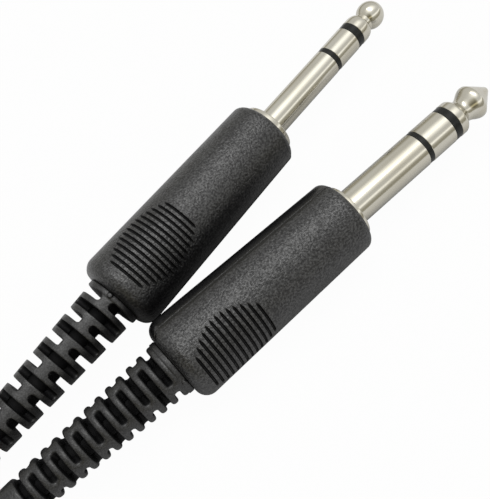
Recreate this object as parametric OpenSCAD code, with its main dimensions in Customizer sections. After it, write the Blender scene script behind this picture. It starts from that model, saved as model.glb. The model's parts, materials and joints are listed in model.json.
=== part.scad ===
// Instrument cable: two moulded stereo jack plugs on one flexible cord.
// Plug A is the thick plug with a pointed tip, plug B the slim plug with a ball tip. They lie side by side,
// and the cord behind their strain reliefs is wound into a neat coil on the same surface.
// Origin: plug A's shoulder, on its axis. +X runs to plug A's tip and +Z is up. Sizes are in millimetres.

/* [Plug A shaft] */
// Diameter of plug A's shaft
a_shaft_d = 6.35; // [5.6:0.05:7.7]
// Length of the sleeve contact, from the shoulder to the first black ring
a_sleeve_l = 15.4; // [12:0.05:18.5]
// Length of the black ring between the sleeve and the ring contact
a_ring_gap = 0.95; // [0.6:0.05:1.4]
// Length of the ring contact
a_ring_l = 5.2; // [4:0.1:6.5]
// Length of the black ring between the ring contact and the tip
a_tip_gap = 1.4; // [0.9:0.05:2]
// Length of the straight shoulder behind the neck of the tip
a_tip_shoulder = 1.1; // [0.6:0.1:2]
// Diameter of the neck of the tip
a_neck_d = 4.2; // [3.4:0.1:5]
// Distance from the straight shoulder to the middle of the neck
a_neck_l = 1.7; // [1.2:0.1:2.4]
// Diameter of the bulge of the tip
a_bulge_d = 6.2; // [5:0.05:6.3]
// Distance from the neck to the widest place of the bulge
a_bulge_l = 2.6; // [2:0.1:3.2]
// Length of the cone from the bulge to the point
a_point_l = 3.7; // [3:0.1:4.5]
// Radius of the blunt point
a_point_r = 0.8; // [0.4:0.1:1.2]
// Length of collar that shows in front of plug A's body
a_collar_show = 1.0; // [0.8:0.1:2.4]

/* [Plug B shaft] */
// Diameter of plug B's shaft
b_shaft_d = 5.23; // [4.8:0.01:6.35]
// Length of the sleeve contact, from the shoulder to the first black ring
b_sleeve_l = 16.65; // [13:0.05:20]
// Length of the black ring between the sleeve and the ring contact
b_ring_gap = 1.0; // [0.6:0.05:1.4]
// Length of the ring contact
b_ring_l = 5.3; // [4:0.1:6.5]
// Length of the black ring between the ring contact and the tip
b_tip_gap = 1.55; // [0.9:0.05:2]
// Length of the straight shoulder behind the neck of the tip
b_tip_shoulder = 1.0; // [0.6:0.1:2]
// Diameter of the neck of the tip
b_neck_d = 3.7; // [3:0.1:4.2]
// Distance from the straight shoulder to the neck
b_neck_l = 1.7; // [1.2:0.1:2.4]
// Diameter of the ball of the tip
b_ball_d = 5.2; // [4.6:0.05:5.23]
// Distance from the start of the neck to the middle of the ball
b_ball_l = 2.5; // [2.2:0.1:3.2]
// Length of collar that shows in front of plug B's body
b_collar_show = 1.5; // [0.8:0.1:2.8]

/* [Contacts inside a shaft] */
// Diameter of the rod that joins the tip to its lug
rod_d = 1.6; // [1.2:0.1:1.8]
// Wall of the insulator between the rod and the ring contact's tube
inner_insulator_wall = 0.35; // [0.25:0.05:0.4]
// Wall of the ring contact's tube
ring_tube_wall = 0.4; // [0.3:0.05:0.45]
// Wall of the insulator between the ring contact's tube and the sleeve
outer_insulator_wall = 0.4; // [0.3:0.05:0.45]
// Depth of the insulating rings below the metal
ring_recess = 0.05; // [0.03:0.01:0.1]
// Clearance all round between pieces that fit in each other
fit = 0.02; // [0.01:0.005:0.03]

/* [Collar and terminals] */
// Diameter of the collar that the body grips
collar_d = 9.1; // [8.4:0.1:11]
// Diameter of the raised step between the shaft and the collar's flat face
collar_step_d = 7.2; // [6.8:0.1:8]
// Length of collar inside the body
collar_grip = 1.2; // [1:0.1:2]
// Diameter of the sleeve's barrel behind the collar
barrel_d = 5.8; // [5.2:0.1:6.4]
// Length of the barrel behind the collar
barrel_l = 3.0; // [2.4:0.1:4]
// Thickness of the ground clamp's plate
clamp_t = 0.5; // [0.4:0.05:0.6]
// Setback of the ground clamp's disc from the collar's edge
clamp_inset = 0.15; // [0.1:0.05:0.3]
// Thickness of an insulating washer
washer_t = 0.8; // [0.6:0.1:1]
// Diameter of the washer in front of the ring lug
outer_washer_d = 6.4; // [6:0.1:7]
// Diameter of the washer in front of the tip lug
inner_washer_d = 4.4; // [4:0.1:4.8]
// Thickness of a solder lug
lug_t = 0.4; // [0.3:0.05:0.5]
// Diameter of the ring lug's disc
ring_lug_d = 5.8; // [5.6:0.1:6.4]
// Diameter of the tip lug's disc
tip_lug_d = 4.0; // [3.6:0.1:4.2]
// Length of a lug's solder tag
tag_l = 6.0; // [5:0.5:7]
// Width of a lug's solder tag
tag_w = 2.0; // [1.6:0.1:2.4]
// Width of the flare round the ring contact's tube, which holds the ring lug
flare_w = 0.41; // [0.3:0.01:0.6]
// Width of the riveted rim round the end of the rod
rivet_w = 0.5; // [0.3:0.05:0.6]
// Length of the flare and of the riveted rim
rivet_l = 0.4; // [0.3:0.05:0.5]

/* [Body] */
// Diameter of a body at its front
body_front_d = 13.0; // [12.6:0.1:15.6]
// Diameter of a body at its back
body_back_d = 14.6; // [12.6:0.1:17.6]
// Length of plug A's body
a_body_l = 36.65; // [34:0.05:44]
// Length of plug B's body
b_body_l = 39.35; // [34:0.05:47]
// Radius of a body's front edge
front_round = 1.2; // [0.8:0.1:2.2]
// Radius of a body's back edge
back_round = 2.2; // [0.8:0.1:2.6]
// Clearance between the ground clamp's disc and the hidden inner mould
mould_clearance = 0.3; // [0.2:0.05:0.5]
// Wall of the inner mould
mould_wall = 0.5; // [0.4:0.05:0.7]
// Length of the inner mould behind the collar
mould_l = 25.0; // [24:0.5:28]

/* [Grip grooves] */
// Distance between two grooves
groove_pitch = 1.0; // [0.8:0.05:1.1]
// Width of a groove at the surface
groove_w = 0.6; // [0.4:0.05:0.7]
// Depth of a groove
groove_depth = 0.4; // [0.2:0.05:0.5]
// Half of the angle that the longest groove covers
groove_mid_angle = 49.5; // [30:0.5:60]
// Half of the angle that the first and the last groove cover
groove_end_angle = 27.5; // [15:0.5:30]
// Grooves on each side of plug A
a_grooves = 13; // [9:1:13]
// Grooves on each side of plug B
b_grooves = 14; // [9:1:14]
// Distance from plug A's body front to its first groove
a_groove_start = 21.65; // [18:0.05:22]
// Distance from plug B's body front to its first groove
b_groove_start = 22.85; // [18:0.05:25]

/* [Strain relief] */
// Diameter of the round plate behind the body
plate_d = 9.7; // [9:0.1:10.2]
// Thickness of that plate
plate_t = 1.0; // [0.8:0.1:1.4]
// Diameter of the ribs next to the plate
relief_front_d = 9.5; // [8.4:0.1:10]
// Diameter at the tail
relief_tail_d = 6.4; // [5.6:0.1:7.4]
// Gaps between the ribs
gap_count = 13; // [7:2:13]
// Width of a gap
gap_w = 1.3; // [1:0.05:1.6]
// Distance between two gaps of plug A
a_gap_pitch = 2.14; // [1.9:0.01:2.6]
// Distance between two gaps of plug B
b_gap_pitch = 2.3; // [1.9:0.01:2.8]
// Distance from the plate to plug A's first gap
a_first_rib = 0.7; // [0.4:0.05:1.4]
// Distance from the plate to plug B's first gap
b_first_rib = 0.05; // [0.05:0.05:1.4]
// Length of the plain tail behind the last gap
tail_l = 3.4; // [2:0.1:5]
// Thickness of the webs that cross the gaps
web_t = 1.8; // [1.2:0.1:2.4]
// Length of the root that the body holds
root_l = 7.8; // [6:0.1:8]
// Diameter of the root
root_d = 6.6; // [6:0.1:7]
// Diameter of the barb on the root
barb_d = 8.6; // [8:0.1:9]
// Length of the barb
barb_l = 1.4; // [1:0.1:2]
// Diameter of the moulding nub on the plate's edge
nub_d = 0.9; // [0.5:0.1:1]
// Height of the moulding nub
nub_h = 0.3; // [0.2:0.05:0.4]

/* [Cord] */
// Diameter of each of the two cores, with its insulation
core_d = 1.0; // [0.8:0.05:1.2]
// Thickness of the braided shield round the cores
shield_t = 0.26; // [0.2:0.02:0.32]
// Thickness of the jacket
jacket_t = 0.53; // [0.42:0.01:0.66]
// Distance from the collar to the front edge of the jacket
jacket_setback = 17.0; // [16:0.5:18]
// Length of bare shield in front of the jacket
shield_bare = 1.5; // [1:0.1:2]

/* [Coil] */
// Mean diameter of the coil's turns
coil_d = 38.5; // [37:0.5:44]
// Turns of the whole coil
coil_turns = 15.5; // [13.5:1:17.5]
// Gap between two turns side by side
turn_gap = 0.45; // [0.45:0.05:1.3]
// Gap between two layers
layer_gap = 0.45; // [0.45:0.05:1.3]
// How far a lead reaches into each of its two bends
lead_reach = 22; // [20:0.5:24]
// Sag of the lead that climbs to the top of the coil
lead_sag = 1.5; // [0:0.1:2]

/* [Tie] */
// Width of the tie that holds the coil
tie_w = 8; // [6:0.5:10]
// Thickness of the tie
tie_t = 0.5; // [0.4:0.05:0.8]

/* [Layout] */
// Plug B's shoulder along X
b_x = 2.55; // [-5:0.05:10]
// Gap between the two bodies beside plug B's back end
plugs_gap = 1.67; // [0.5:0.01:9]
// Angle from plug A's axis to plug B's axis
b_yaw = 9.2; // [4:0.1:12]
// Turn of plug A about its own axis
a_roll = 64.5; // [0:0.5:180]
// Turn of plug B about its own axis
b_roll = 21.5; // [0:0.5:180]

/* [Hidden] */
$fn = 48;

// Radii of the contacts, from the middle outwards
rod_r = rod_d / 2;
ring_bore_r = rod_r + fit + inner_insulator_wall + fit;
ring_tube_r = ring_bore_r + ring_tube_wall;
sleeve_bore_r = ring_tube_r + fit + outer_insulator_wall + fit;
flare_r = ring_tube_r + flare_w;
rivet_r = rod_r + rivet_w;

// Radii of the cord's layers, from the two cores outwards
core_r = core_d / 2;
core_offset = core_r + fit;
shield_bore_r = core_offset + core_r + fit;
shield_r = shield_bore_r + shield_t;
jacket_bore_r = shield_r + fit;
cord_r = jacket_bore_r + jacket_t;
cord_d = 2 * cord_r;

// The ground clamp's disc lies behind the collar, and the inner mould clears it
clamp_d = collar_d - 2 * clamp_inset;
mould_d = clamp_d + 2 * (mould_clearance + mould_wall);

// A drop of solder, the straight end of a wire in it, and the shield's pigtail
solder_r = 0.6;
solder_l = 1.2;
wire_end_l = 1;
pigtail_r = 0.3;

// The ground clamp's arm rises to the jacket over this length, and its crimp wraps the jacket up to crimp_top
arm_rise_l = 3;
crimp_l = 3;
crimp_top = 0.8;

// Wall behind the inner mould's cavity, and the way from the root's front end to its barb
mould_end_wall = 1.2;
barb_setback = 1.5;

// Longer than any body or strain relief is wide, for cuts that go right through
reach = 20;

// One plug's own sizes, read by the functions below
PLUG_A = [a_shaft_d, a_sleeve_l, a_ring_gap, a_ring_l, a_tip_gap, a_collar_show, a_body_l,
    a_grooves, a_groove_start, a_first_rib, a_gap_pitch];
PLUG_B = [b_shaft_d, b_sleeve_l, b_ring_gap, b_ring_l, b_tip_gap, b_collar_show, b_body_l,
    b_grooves, b_groove_start, b_first_rib, b_gap_pitch];

function shaft_r(p) = p[0] / 2;
function sleeve_front(p) = p[1];
function ring_back(p) = sleeve_front(p) + p[2];
function ring_front(p) = ring_back(p) + p[3];
function tip_back(p) = ring_front(p) + p[4];
function body_front(p) = -p[5];
function body_l(p) = p[6];
function body_back(p) = body_front(p) - body_l(p);
function groove_count(p) = p[7];
function groove_start(p) = body_front(p) - p[8];
function gap_start(p) = body_back(p) - plate_t - p[9];
function gap_pitch(p) = p[10];

// Places along the axis behind the shoulder, from the collar to the cord
function collar_back(p) = body_front(p) - collar_grip;
function clamp_back(p) = collar_back(p) - clamp_t;
function barrel_back(p) = collar_back(p) - barrel_l;
function ring_lug_front(p) = barrel_back(p) - washer_t;
function flare_front(p) = ring_lug_front(p) - lug_t;
function inner_washer_front(p) = flare_front(p) - rivet_l;
function tip_lug_front(p) = inner_washer_front(p) - washer_t;
function rivet_front(p) = tip_lug_front(p) - lug_t;
function jacket_front(p) = collar_back(p) - jacket_setback;
function mould_back(p) = collar_back(p) - mould_l;
function gap_front(p, i) = gap_start(p) - i * gap_pitch(p);
function relief_back(p) = gap_front(p, gap_count - 1) - gap_w - tail_l;

// Radius of the body, and of the strain relief, at a place along the axis
function body_r(p, x) = (body_front_d + (body_back_d - body_front_d) * (body_front(p) - x) / body_l(p)) / 2;
function relief_r(p, x) = (relief_front_d
    + (relief_tail_d - relief_front_d) * (body_back(p) - x) / (body_back(p) - relief_back(p))) / 2;

// Points of an arc about c, from angle a0 to a1 in n steps
function arc(c, r, a0, a1, n = 6) = [for (i = [0:n]) let (a = a0 + (a1 - a0) * i / n)
    [c.x + r * cos(a), c.y + r * sin(a)]];

// Revolves an outline of [radius, x] points about the X axis
module lathe(outline) rotate([0, 90, 0]) rotate_extrude() polygon(outline);

// A tube along the X axis from x0 to x1, solid where the bore is left out
module pipe(x0, x1, r, bore = 0) lathe([[bore, x0], [r, x0], [r, x1], [bore, x1]]);

// Sweeps a closed tube along a route, one ring of corners on each point, with a corner at the bottom
function direction(route, i) = let (n = len(route) - 1, v = route[min(i + 1, n)] - route[max(i - 1, 0)])
    v / norm(v);
function tube_ring(route, i, r, sides) = let (
    t = direction(route, i),
    side = cross(t, [0, 0, 1]) / norm(cross(t, [0, 0, 1])),
    up = cross(side, t))
    [for (k = [0:sides - 1]) let (a = 360 * k / sides - 90) route[i] + r * (cos(a) * side + sin(a) * up)];
module tube(route, r, sides) {
    last = (len(route) - 1) * sides;
    corners = [for (i = [0:len(route) - 1]) each tube_ring(route, i, r, sides)];
    walls = [for (i = [0:len(route) - 2], k = [0:sides - 1]) let (
        a = i * sides + k,
        b = i * sides + (k + 1) % sides)
        each [[a, b, a + sides], [b, b + sides, a + sides]]];
    back = [for (k = [1:sides - 2]) [0, k + 1, k]];
    front = [for (k = [1:sides - 2]) [last, last + k, last + k + 1]];
    polyhedron(points = corners, faces = concat(walls, back, front), convexity = 10);
}

// Height of a blend from 0 to 1, level at both ends
function ease(s) = (1 - cos(180 * s)) / 2;

// ---- Shaft: tip, ring and sleeve contacts with their insulators ----

// Points of plug A's tip: shoulder, hollow neck, bulge, the rim where the cone starts, and the blunt point
function pointed_tip(p) = let (
    r = shaft_r(p),
    neck_r = a_neck_d / 2,
    bulge_r = a_bulge_d / 2,
    shoulder = tip_back(p) + a_tip_shoulder,
    neck = shoulder + a_neck_l,
    bulge = neck + a_bulge_l,
    rim = [bulge_r * 0.93, bulge + 0.55],
    point = bulge + a_point_l)
    concat([[r, tip_back(p)]],
        [for (i = [0:5]) [r + (neck_r - r) * ease(i / 5), shoulder + a_neck_l * i / 5]],
        [for (i = [1:5]) [neck_r + (bulge_r - neck_r) * ease(i / 5), neck + a_bulge_l * i / 5]],
        [rim],
        arc([0, point - a_point_r], a_point_r, 42, 90, 4));

// Points of plug B's tip: rounded shoulder, neck and ball
function ball_tip(p) = let (
    r = shaft_r(p),
    neck_r = b_neck_d / 2,
    ball_r = b_ball_d / 2,
    shoulder = tip_back(p) + b_tip_shoulder,
    neck = shoulder + b_neck_l,
    ball = neck + b_ball_l)
    concat([[r, tip_back(p)]],
        [for (i = [0:5]) [neck_r + (r - neck_r) * cos(90 * i / 5), shoulder + b_neck_l * sin(90 * i / 5)]],
        arc([0, ball], ball_r, -acos(neck_r / ball_r), 90, 10));

module tip_contact(p, tip_points) color("silver") lathe(concat(
    [[0, rivet_front(p) - rivet_l], [rivet_r, rivet_front(p) - rivet_l], [rivet_r, rivet_front(p)],
        [rod_r, rivet_front(p)], [rod_r, tip_back(p)]],
    tip_points));

module tip_insulator(p) color("#202020") lathe([
    [rod_r + fit, inner_washer_front(p)], [ring_bore_r - fit, inner_washer_front(p)],
    [ring_bore_r - fit, ring_front(p)], [shaft_r(p) - ring_recess, ring_front(p)],
    [shaft_r(p) - ring_recess, tip_back(p)], [rod_r + fit, tip_back(p)]]);

module ring_contact(p) color("silver") lathe([
    [ring_bore_r, inner_washer_front(p)], [flare_r, inner_washer_front(p)], [flare_r, flare_front(p)],
    [ring_tube_r, flare_front(p)], [ring_tube_r, ring_back(p)], [shaft_r(p), ring_back(p)],
    [shaft_r(p), ring_front(p)], [ring_bore_r, ring_front(p)]]);

module ring_insulator(p) color("#202020") lathe([
    [ring_tube_r + fit, barrel_back(p)], [sleeve_bore_r - fit, barrel_back(p)],
    [sleeve_bore_r - fit, sleeve_front(p)], [shaft_r(p) - ring_recess, sleeve_front(p)],
    [shaft_r(p) - ring_recess, ring_back(p)], [ring_tube_r + fit, ring_back(p)]]);

// The collar rises in a small step from the shaft to a flat face with a chamfered rim, which the body grips
module sleeve_contact(p) color("silver") lathe([
    [sleeve_bore_r, barrel_back(p)], [barrel_d / 2, barrel_back(p)], [barrel_d / 2, collar_back(p)],
    [collar_d / 2, collar_back(p)], [collar_d / 2, body_front(p) * 0.45],
    [collar_d / 2 - 0.2, body_front(p) * 0.3], [collar_step_d / 2, body_front(p) * 0.3],
    [collar_step_d / 2, 0], [shaft_r(p), 0],
    [shaft_r(p), sleeve_front(p)], [sleeve_bore_r, sleeve_front(p)]]);

// ---- Terminals, solder and the cut end of the cord ----

ring_tag_z = ring_lug_d / 2 - lug_t;
tip_tag_z = -tip_lug_d / 2;
arm_w = 2.6;
arm_z = -sqrt(pow(clamp_d / 2, 2) - pow(arm_w / 2, 2));
solder_on_ring = ring_tag_z - solder_r - fit;
solder_on_tip = tip_tag_z + lug_t + solder_r + fit;
solder_on_arm = arm_z + clamp_t + solder_r + fit;
function ring_solder_x(p) = ring_lug_front(p) - tag_l;
function tip_solder_x(p) = tip_lug_front(p) - tag_l + 0.5;
function arm_solder_x(p) = tip_solder_x(p) - 0.5;

// A disc on the axis with a solder tag that runs back from its edge
module lug(front, d, bore, tag_z) {
    difference() {
        union() {
            pipe(front - lug_t, front, d / 2);
            translate([front - lug_t - tag_l, -tag_w / 2, tag_z]) cube([tag_l + lug_t, tag_w, lug_t]);
        }
        pipe(front - lug_t - 1, front + 1, bore);
    }
}
module ring_lug(p) color("lightgray") lug(ring_lug_front(p), ring_lug_d, ring_tube_r + fit, ring_tag_z);
module tip_lug(p) color("lightgray") lug(tip_lug_front(p), tip_lug_d, rod_r + fit, tip_tag_z);

module outer_washer(p) color("ivory")
    pipe(ring_lug_front(p), barrel_back(p), outer_washer_d / 2, ring_tube_r + fit);
module inner_washer(p) color("ivory")
    pipe(tip_lug_front(p), inner_washer_front(p), inner_washer_d / 2, rod_r + fit);

// A disc behind the collar, an arm along the terminals and a crimp round the jacket
module ground_clamp(p) color("silver") {
    crimp_front = jacket_front(p) - arm_rise_l;
    grip_r = cord_r + fit;
    difference() {
        union() {
            pipe(clamp_back(p), collar_back(p), clamp_d / 2);
            rotate([90, 0, 0]) linear_extrude(arm_w, center = true) polygon([
                [collar_back(p), arm_z], [collar_back(p), arm_z + clamp_t],
                [jacket_front(p), arm_z + clamp_t], [crimp_front, -grip_r],
                [crimp_front - crimp_l, -grip_r], [crimp_front - crimp_l, -grip_r - clamp_t],
                [crimp_front, -grip_r - clamp_t], [jacket_front(p), arm_z]]);
            difference() {
                pipe(crimp_front - crimp_l, crimp_front, grip_r + clamp_t);
                translate([crimp_front - crimp_l - 1, -reach / 2, crimp_top])
                    cube([crimp_l + 2, reach, reach]);
            }
        }
        pipe(clamp_back(p) - 1, collar_back(p) + 1, barrel_d / 2 + fit);
        pipe(crimp_front - crimp_l - 1, crimp_front + 1, grip_r);
    }
}

// A drop of solder on a tag, with the wire's end against its back
module solder(x, z) {
    translate([x, 0, z]) rotate([0, 90, 0]) cylinder(h = solder_l, r = solder_r);
    translate([x + solder_l, 0, z]) sphere(r = solder_r);
}
module solder_joints(p) color("gainsboro") {
    solder(ring_solder_x(p), solder_on_ring);
    solder(tip_solder_x(p), solder_on_tip);
    solder(arm_solder_x(p), solder_on_arm);
}

// A core runs straight inside the shield, then bends to the back of its solder
function core_route(p, offset, x, z) = concat(
    [[relief_back(p), 0, offset]],
    [for (i = [0:5]) let (s = i / 5, x0 = jacket_front(p) + shield_bare) [x0 + (x - wire_end_l - x0) * s, 0,
        offset + (z - offset) * ease(s)]],
    [[x, 0, z]]);
module tip_wire(p) color("firebrick")
    tube(core_route(p, -core_offset, tip_solder_x(p), solder_on_tip), core_r, 8);
module ring_wire(p) color("white")
    tube(core_route(p, core_offset, ring_solder_x(p), solder_on_ring), core_r, 8);

// The braid is gathered below the cores and twisted into a pigtail that runs to the ground clamp's arm
function pigtail_route(p) = let (
    x0 = jacket_front(p) + shield_bare / 2,
    x1 = arm_solder_x(p) - wire_end_l,
    z0 = -shield_bore_r - pigtail_r)
    concat([[jacket_front(p) + shield_bare / 4, 0, z0]],
        [for (i = [0:6]) [x0 + (x1 - x0) * i / 6, 0, z0 + (solder_on_arm - z0) * ease(i / 6)]],
        [[arm_solder_x(p), 0, solder_on_arm]]);
module shield(p) color("chocolate") {
    pipe(relief_back(p), jacket_front(p) + shield_bare, shield_r, shield_bore_r);
    tube(pigtail_route(p), pigtail_r, 8);
}
module jacket_end(p) color("#1c1c1c") pipe(relief_back(p), jacket_front(p), cord_r, jacket_bore_r);

// ---- Mouldings ----

// The inner mould seals the terminals before the body is moulded round it
module inner_mould(p) color("lightyellow") difference() {
    pipe(mould_back(p), clamp_back(p), mould_d / 2);
    pipe(mould_back(p) + mould_end_wall, clamp_back(p) + 1, mould_d / 2 - mould_wall);
    pipe(mould_back(p) - 1, mould_back(p) + mould_end_wall + 1, cord_r + fit);
}

// A grip groove: a cut round part of the body, with its middle on top
module groove(p, x, half_angle) {
    r = body_r(p, x);
    rotate([0, 90, 0]) rotate([0, 0, 180 - half_angle]) rotate_extrude(angle = 2 * half_angle) polygon([
        [r - groove_depth, x - groove_w / 4], [r - groove_depth, x + groove_w / 4],
        [r + groove_depth, x + groove_w * 3 / 4], [r + groove_depth, x - groove_w * 3 / 4]]);
}
module grip(p) {
    middle = (groove_count(p) - 1) / 2;
    for (i = [0:groove_count(p) - 1])
        groove(p, groove_start(p) - i * groove_pitch,
            groove_end_angle + (groove_mid_angle - groove_end_angle) * (1 - pow((i - middle) / middle, 2)));
}
module body(p) color("#2a2a2c") difference() {
    lathe(concat([[0, body_back(p)]],
        arc([body_r(p, body_back(p)) - back_round, body_back(p) + back_round], back_round, -90, 0),
        arc([body_r(p, body_front(p)) - front_round, body_front(p) - front_round], front_round, 0, 90),
        [[0, body_front(p)]]));
    // Seats of the collar, the inner mould, the cord and the strain relief's root
    pipe(clamp_back(p) - 0.01, body_front(p) + 1, collar_d / 2 + fit);
    pipe(mould_back(p), clamp_back(p), mould_d / 2 + fit);
    pipe(body_back(p) - 1, mould_back(p) + 1, cord_r + fit);
    lathe(root_outline(p, fit));
    grip(p);
    mirror([0, 0, 1]) grip(p);
}

// The strain relief's root inside the body, with the barb that locks it
function root_outline(p, grow) = let (
    front = body_back(p) + root_l,
    barb = front - barb_setback)
    [[0, body_back(p) - 1], [root_d / 2 + grow, body_back(p) - 1], [root_d / 2 + grow, barb - barb_l - grow],
        [barb_d / 2 + grow, barb - barb_l - grow], [barb_d / 2 + grow, barb + grow],
        [root_d / 2 + grow, barb + grow], [root_d / 2 + grow, front + grow], [0, front + grow]];

// A gap is open at both sides and leaves a web across its middle, with round ends at the web
module gap(x) for (side = [-1, 1]) translate([x - gap_w / 2, 0, -reach / 2]) linear_extrude(reach) {
    translate([0, side * (web_t + gap_w) / 2]) circle(d = gap_w);
    translate([-gap_w / 2, side > 0 ? (web_t + gap_w) / 2 : -reach])
        square([gap_w, reach - (web_t + gap_w) / 2]);
}
module strain_relief(p) color("#1b1b1b") difference() {
    union() {
        lathe(root_outline(p, 0));
        pipe(body_back(p) - plate_t, body_back(p), plate_d / 2);
        lathe([[0, relief_back(p)], [relief_r(p, relief_back(p)) - 0.5, relief_back(p)],
            [relief_r(p, relief_back(p)), relief_back(p) + 0.5],
            [relief_r(p, body_back(p) - plate_t), body_back(p) - plate_t], [0, body_back(p) - plate_t]]);
        translate([body_back(p) - plate_t / 2, 0, 0]) cylinder(h = plate_d / 2 + nub_h, d = nub_d);
    }
    // The first gap is open at both sides, the next above and below, and so on by turns
    for (i = [0:gap_count - 1]) rotate([i % 2 * 90, 0, 0]) gap(gap_front(p, i));
    pipe(relief_back(p) - 1, body_back(p) + root_l + 1, cord_r + fit);
}

// ---- Cord ----

// Height of the cord's middle where it lies on the surface that the bodies rest on
rest_z = cord_r - body_back_d / 2;

// The coil: six layers of turns that spiral in and out by turns, and climb where the spiral reverses
coil_x = -124;
coil_y = 5;
layers = 6;
layer_turns = coil_turns / layers;
turn_pitch = cord_d + turn_gap;
layer_pitch = cord_d + layer_gap;
rings_per_turn = 24;
coil_out_r = coil_d / 2 + turn_pitch * layer_turns / 2;
function coil_radius(t) = let (u = abs((t / layer_turns) % 2 - 1))
    coil_out_r - turn_pitch * layer_turns * (1 - u);
function coil_height(t) = let (
    k = min(layers - 2, max(0, floor(t / layer_turns - 0.5))),
    reverse = (k + 1) * layer_turns)
    rest_z + layer_pitch * (k + min(1, max(0, (t - reverse) / 0.5 + 0.5)));

// The turns pass over the tie in a low hump: level within tie_half of it, and down again at twice that angle
tie_half = 30;
function tie_lift(a) = tie_t * ease(min(1, max(0, 2 - acos(-cos(a)) / tie_half)));
function coil_point(t) = let (a = -90 - 360 * t)
    [coil_x + coil_radius(t) * cos(a), coil_y + coil_radius(t) * sin(a), coil_height(t) + tie_lift(a)];
coil_start = coil_point(0) + [cord_d, 0, 0];
coil_end = coil_point(coil_turns) + [cord_d, 0, 0];
coil_route = concat([coil_start], [for (i = [0:coil_turns * rings_per_turn]) coil_point(i / rings_per_turn)],
    [coil_end]);

// Least clear gap between turns, from every ring to each ring at least half a turn further on
function coil_gap() = min([for (i = [0:len(coil_route) - 13], j = [i + 12:len(coil_route) - 1])
    norm(coil_route[i] - coil_route[j])]) - cord_d;

// Where the cord leaves each plug
exit_a = [relief_back(PLUG_A), 0, 0];
b_axis = [cos(b_yaw), sin(b_yaw), 0];
b_y = body_back_d + plugs_gap - body_back(PLUG_B) * sin(b_yaw);
b_shoulder = [b_x, b_y, 0];
exit_b = b_shoulder + relief_back(PLUG_B) * b_axis;

// A lead leaves its plug straight, and a cubic curve with level ends turns it to its side of the coil.
// Lead A is down on the surface half way along, and lead B climbs to the coil's top layer
lead_steps = 16;
function cubic(a, b, c, d, t) = pow(1 - t, 3) * a + 3 * pow(1 - t, 2) * t * b + 3 * (1 - t) * t * t * c
    + pow(t, 3) * d;
function lead_route(exit, axis, joint, heights) = let (
    from = exit - cord_d * axis,
    from_turn = from - lead_reach * axis,
    into = joint + [cord_d, 0, 0],
    into_turn = into + [lead_reach, 0, 0])
    concat([exit], [for (i = [0:lead_steps]) let (p = cubic(from, from_turn, into_turn, into, i / lead_steps))
        [p.x, p.y, heights[i]]], [joint]);
lead_a_heights = [for (i = [0:lead_steps]) rest_z * ease(min(1, 2 * i / lead_steps))];
lead_b_heights = [for (i = [0:lead_steps]) let (t = i / lead_steps)
    coil_end.z * ease(t) - lead_sag * pow(sin(180 * t), 2)];
lead_a_route = lead_route(exit_a, [1, 0, 0], coil_start, lead_a_heights);
lead_b_route = lead_route(exit_b, b_axis, coil_end, lead_b_heights);

// Length of a route: the sum of its steps
function total(v) = v * [for (x = v) 1];
function route_length(route) = total([for (i = [1:len(route) - 1]) norm(route[i] - route[i - 1])]);

module cord_lead_a() color("#1c1c1c") tube(lead_a_route, cord_r, 8);
module cord_lead_b() color("#1c1c1c") tube(lead_b_route, cord_r, 8);
module cord_coil() {
    echo(least_gap_between_turns = coil_gap());
    echo(cord_length = route_length(lead_a_route) + route_length(coil_route) + route_length(lead_b_route));
    color("#1c1c1c") tube(coil_route, cord_r, 6);
}

// Outline of a rectangle with round corners
function round_box(low, high, r) = concat(
    arc([high.x - r, low.y + r], r, -90, 0),
    arc([high.x - r, high.y - r], r, 0, 90),
    arc([low.x + r, high.y - r], r, 90, 180),
    arc([low.x + r, low.y + r], r, 180, 270));

// A strap round all the turns on the coil's far side, with its end laid over its top
module coil_tie() color("#141414") {
    bundle_in = sqrt(pow(coil_out_r - turn_pitch * layer_turns - cord_r, 2) - pow(tie_w / 2, 2));
    low = [bundle_in - fit, rest_z - cord_r + tie_t];
    high = [coil_out_r + cord_r + fit, rest_z + (layers - 1) * layer_pitch + cord_r + tie_t + fit];
    strap = [tie_t, tie_t];
    corner_r = cord_r + fit;
    translate([coil_x, coil_y, 0]) rotate([90, 0, 180]) linear_extrude(tie_w, center = true) {
        difference() {
            polygon(round_box(low - strap, high + strap, corner_r + tie_t));
            polygon(round_box(low, high, corner_r));
        }
        translate([(low.x + high.x) / 2, high.y + tie_t])
            square([(high.x - low.x) / 2 - corner_r, tie_t]);
    }
}

// ---- The two plugs in their places ----

module place_a() rotate([a_roll, 0, 0]) children();
module place_b() translate(b_shoulder) rotate([0, 0, b_yaw]) rotate([b_roll, 0, 0]) children();

module plug_a_tip_contact() place_a() tip_contact(PLUG_A, pointed_tip(PLUG_A));
module plug_a_tip_insulator() place_a() tip_insulator(PLUG_A);
module plug_a_ring_contact() place_a() ring_contact(PLUG_A);
module plug_a_ring_insulator() place_a() ring_insulator(PLUG_A);
module plug_a_sleeve_contact() place_a() sleeve_contact(PLUG_A);
module plug_a_ground_clamp() place_a() ground_clamp(PLUG_A);
module plug_a_outer_washer() place_a() outer_washer(PLUG_A);
module plug_a_ring_lug() place_a() ring_lug(PLUG_A);
module plug_a_inner_washer() place_a() inner_washer(PLUG_A);
module plug_a_tip_lug() place_a() tip_lug(PLUG_A);
module plug_a_solder_joints() place_a() solder_joints(PLUG_A);
module plug_a_tip_wire() place_a() tip_wire(PLUG_A);
module plug_a_ring_wire() place_a() ring_wire(PLUG_A);
module plug_a_shield() place_a() shield(PLUG_A);
module plug_a_jacket_end() place_a() jacket_end(PLUG_A);
module plug_a_inner_mould() place_a() inner_mould(PLUG_A);
module plug_a_body() place_a() body(PLUG_A);
module plug_a_strain_relief() place_a() strain_relief(PLUG_A);
module plug_b_tip_contact() place_b() tip_contact(PLUG_B, ball_tip(PLUG_B));
module plug_b_tip_insulator() place_b() tip_insulator(PLUG_B);
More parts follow.
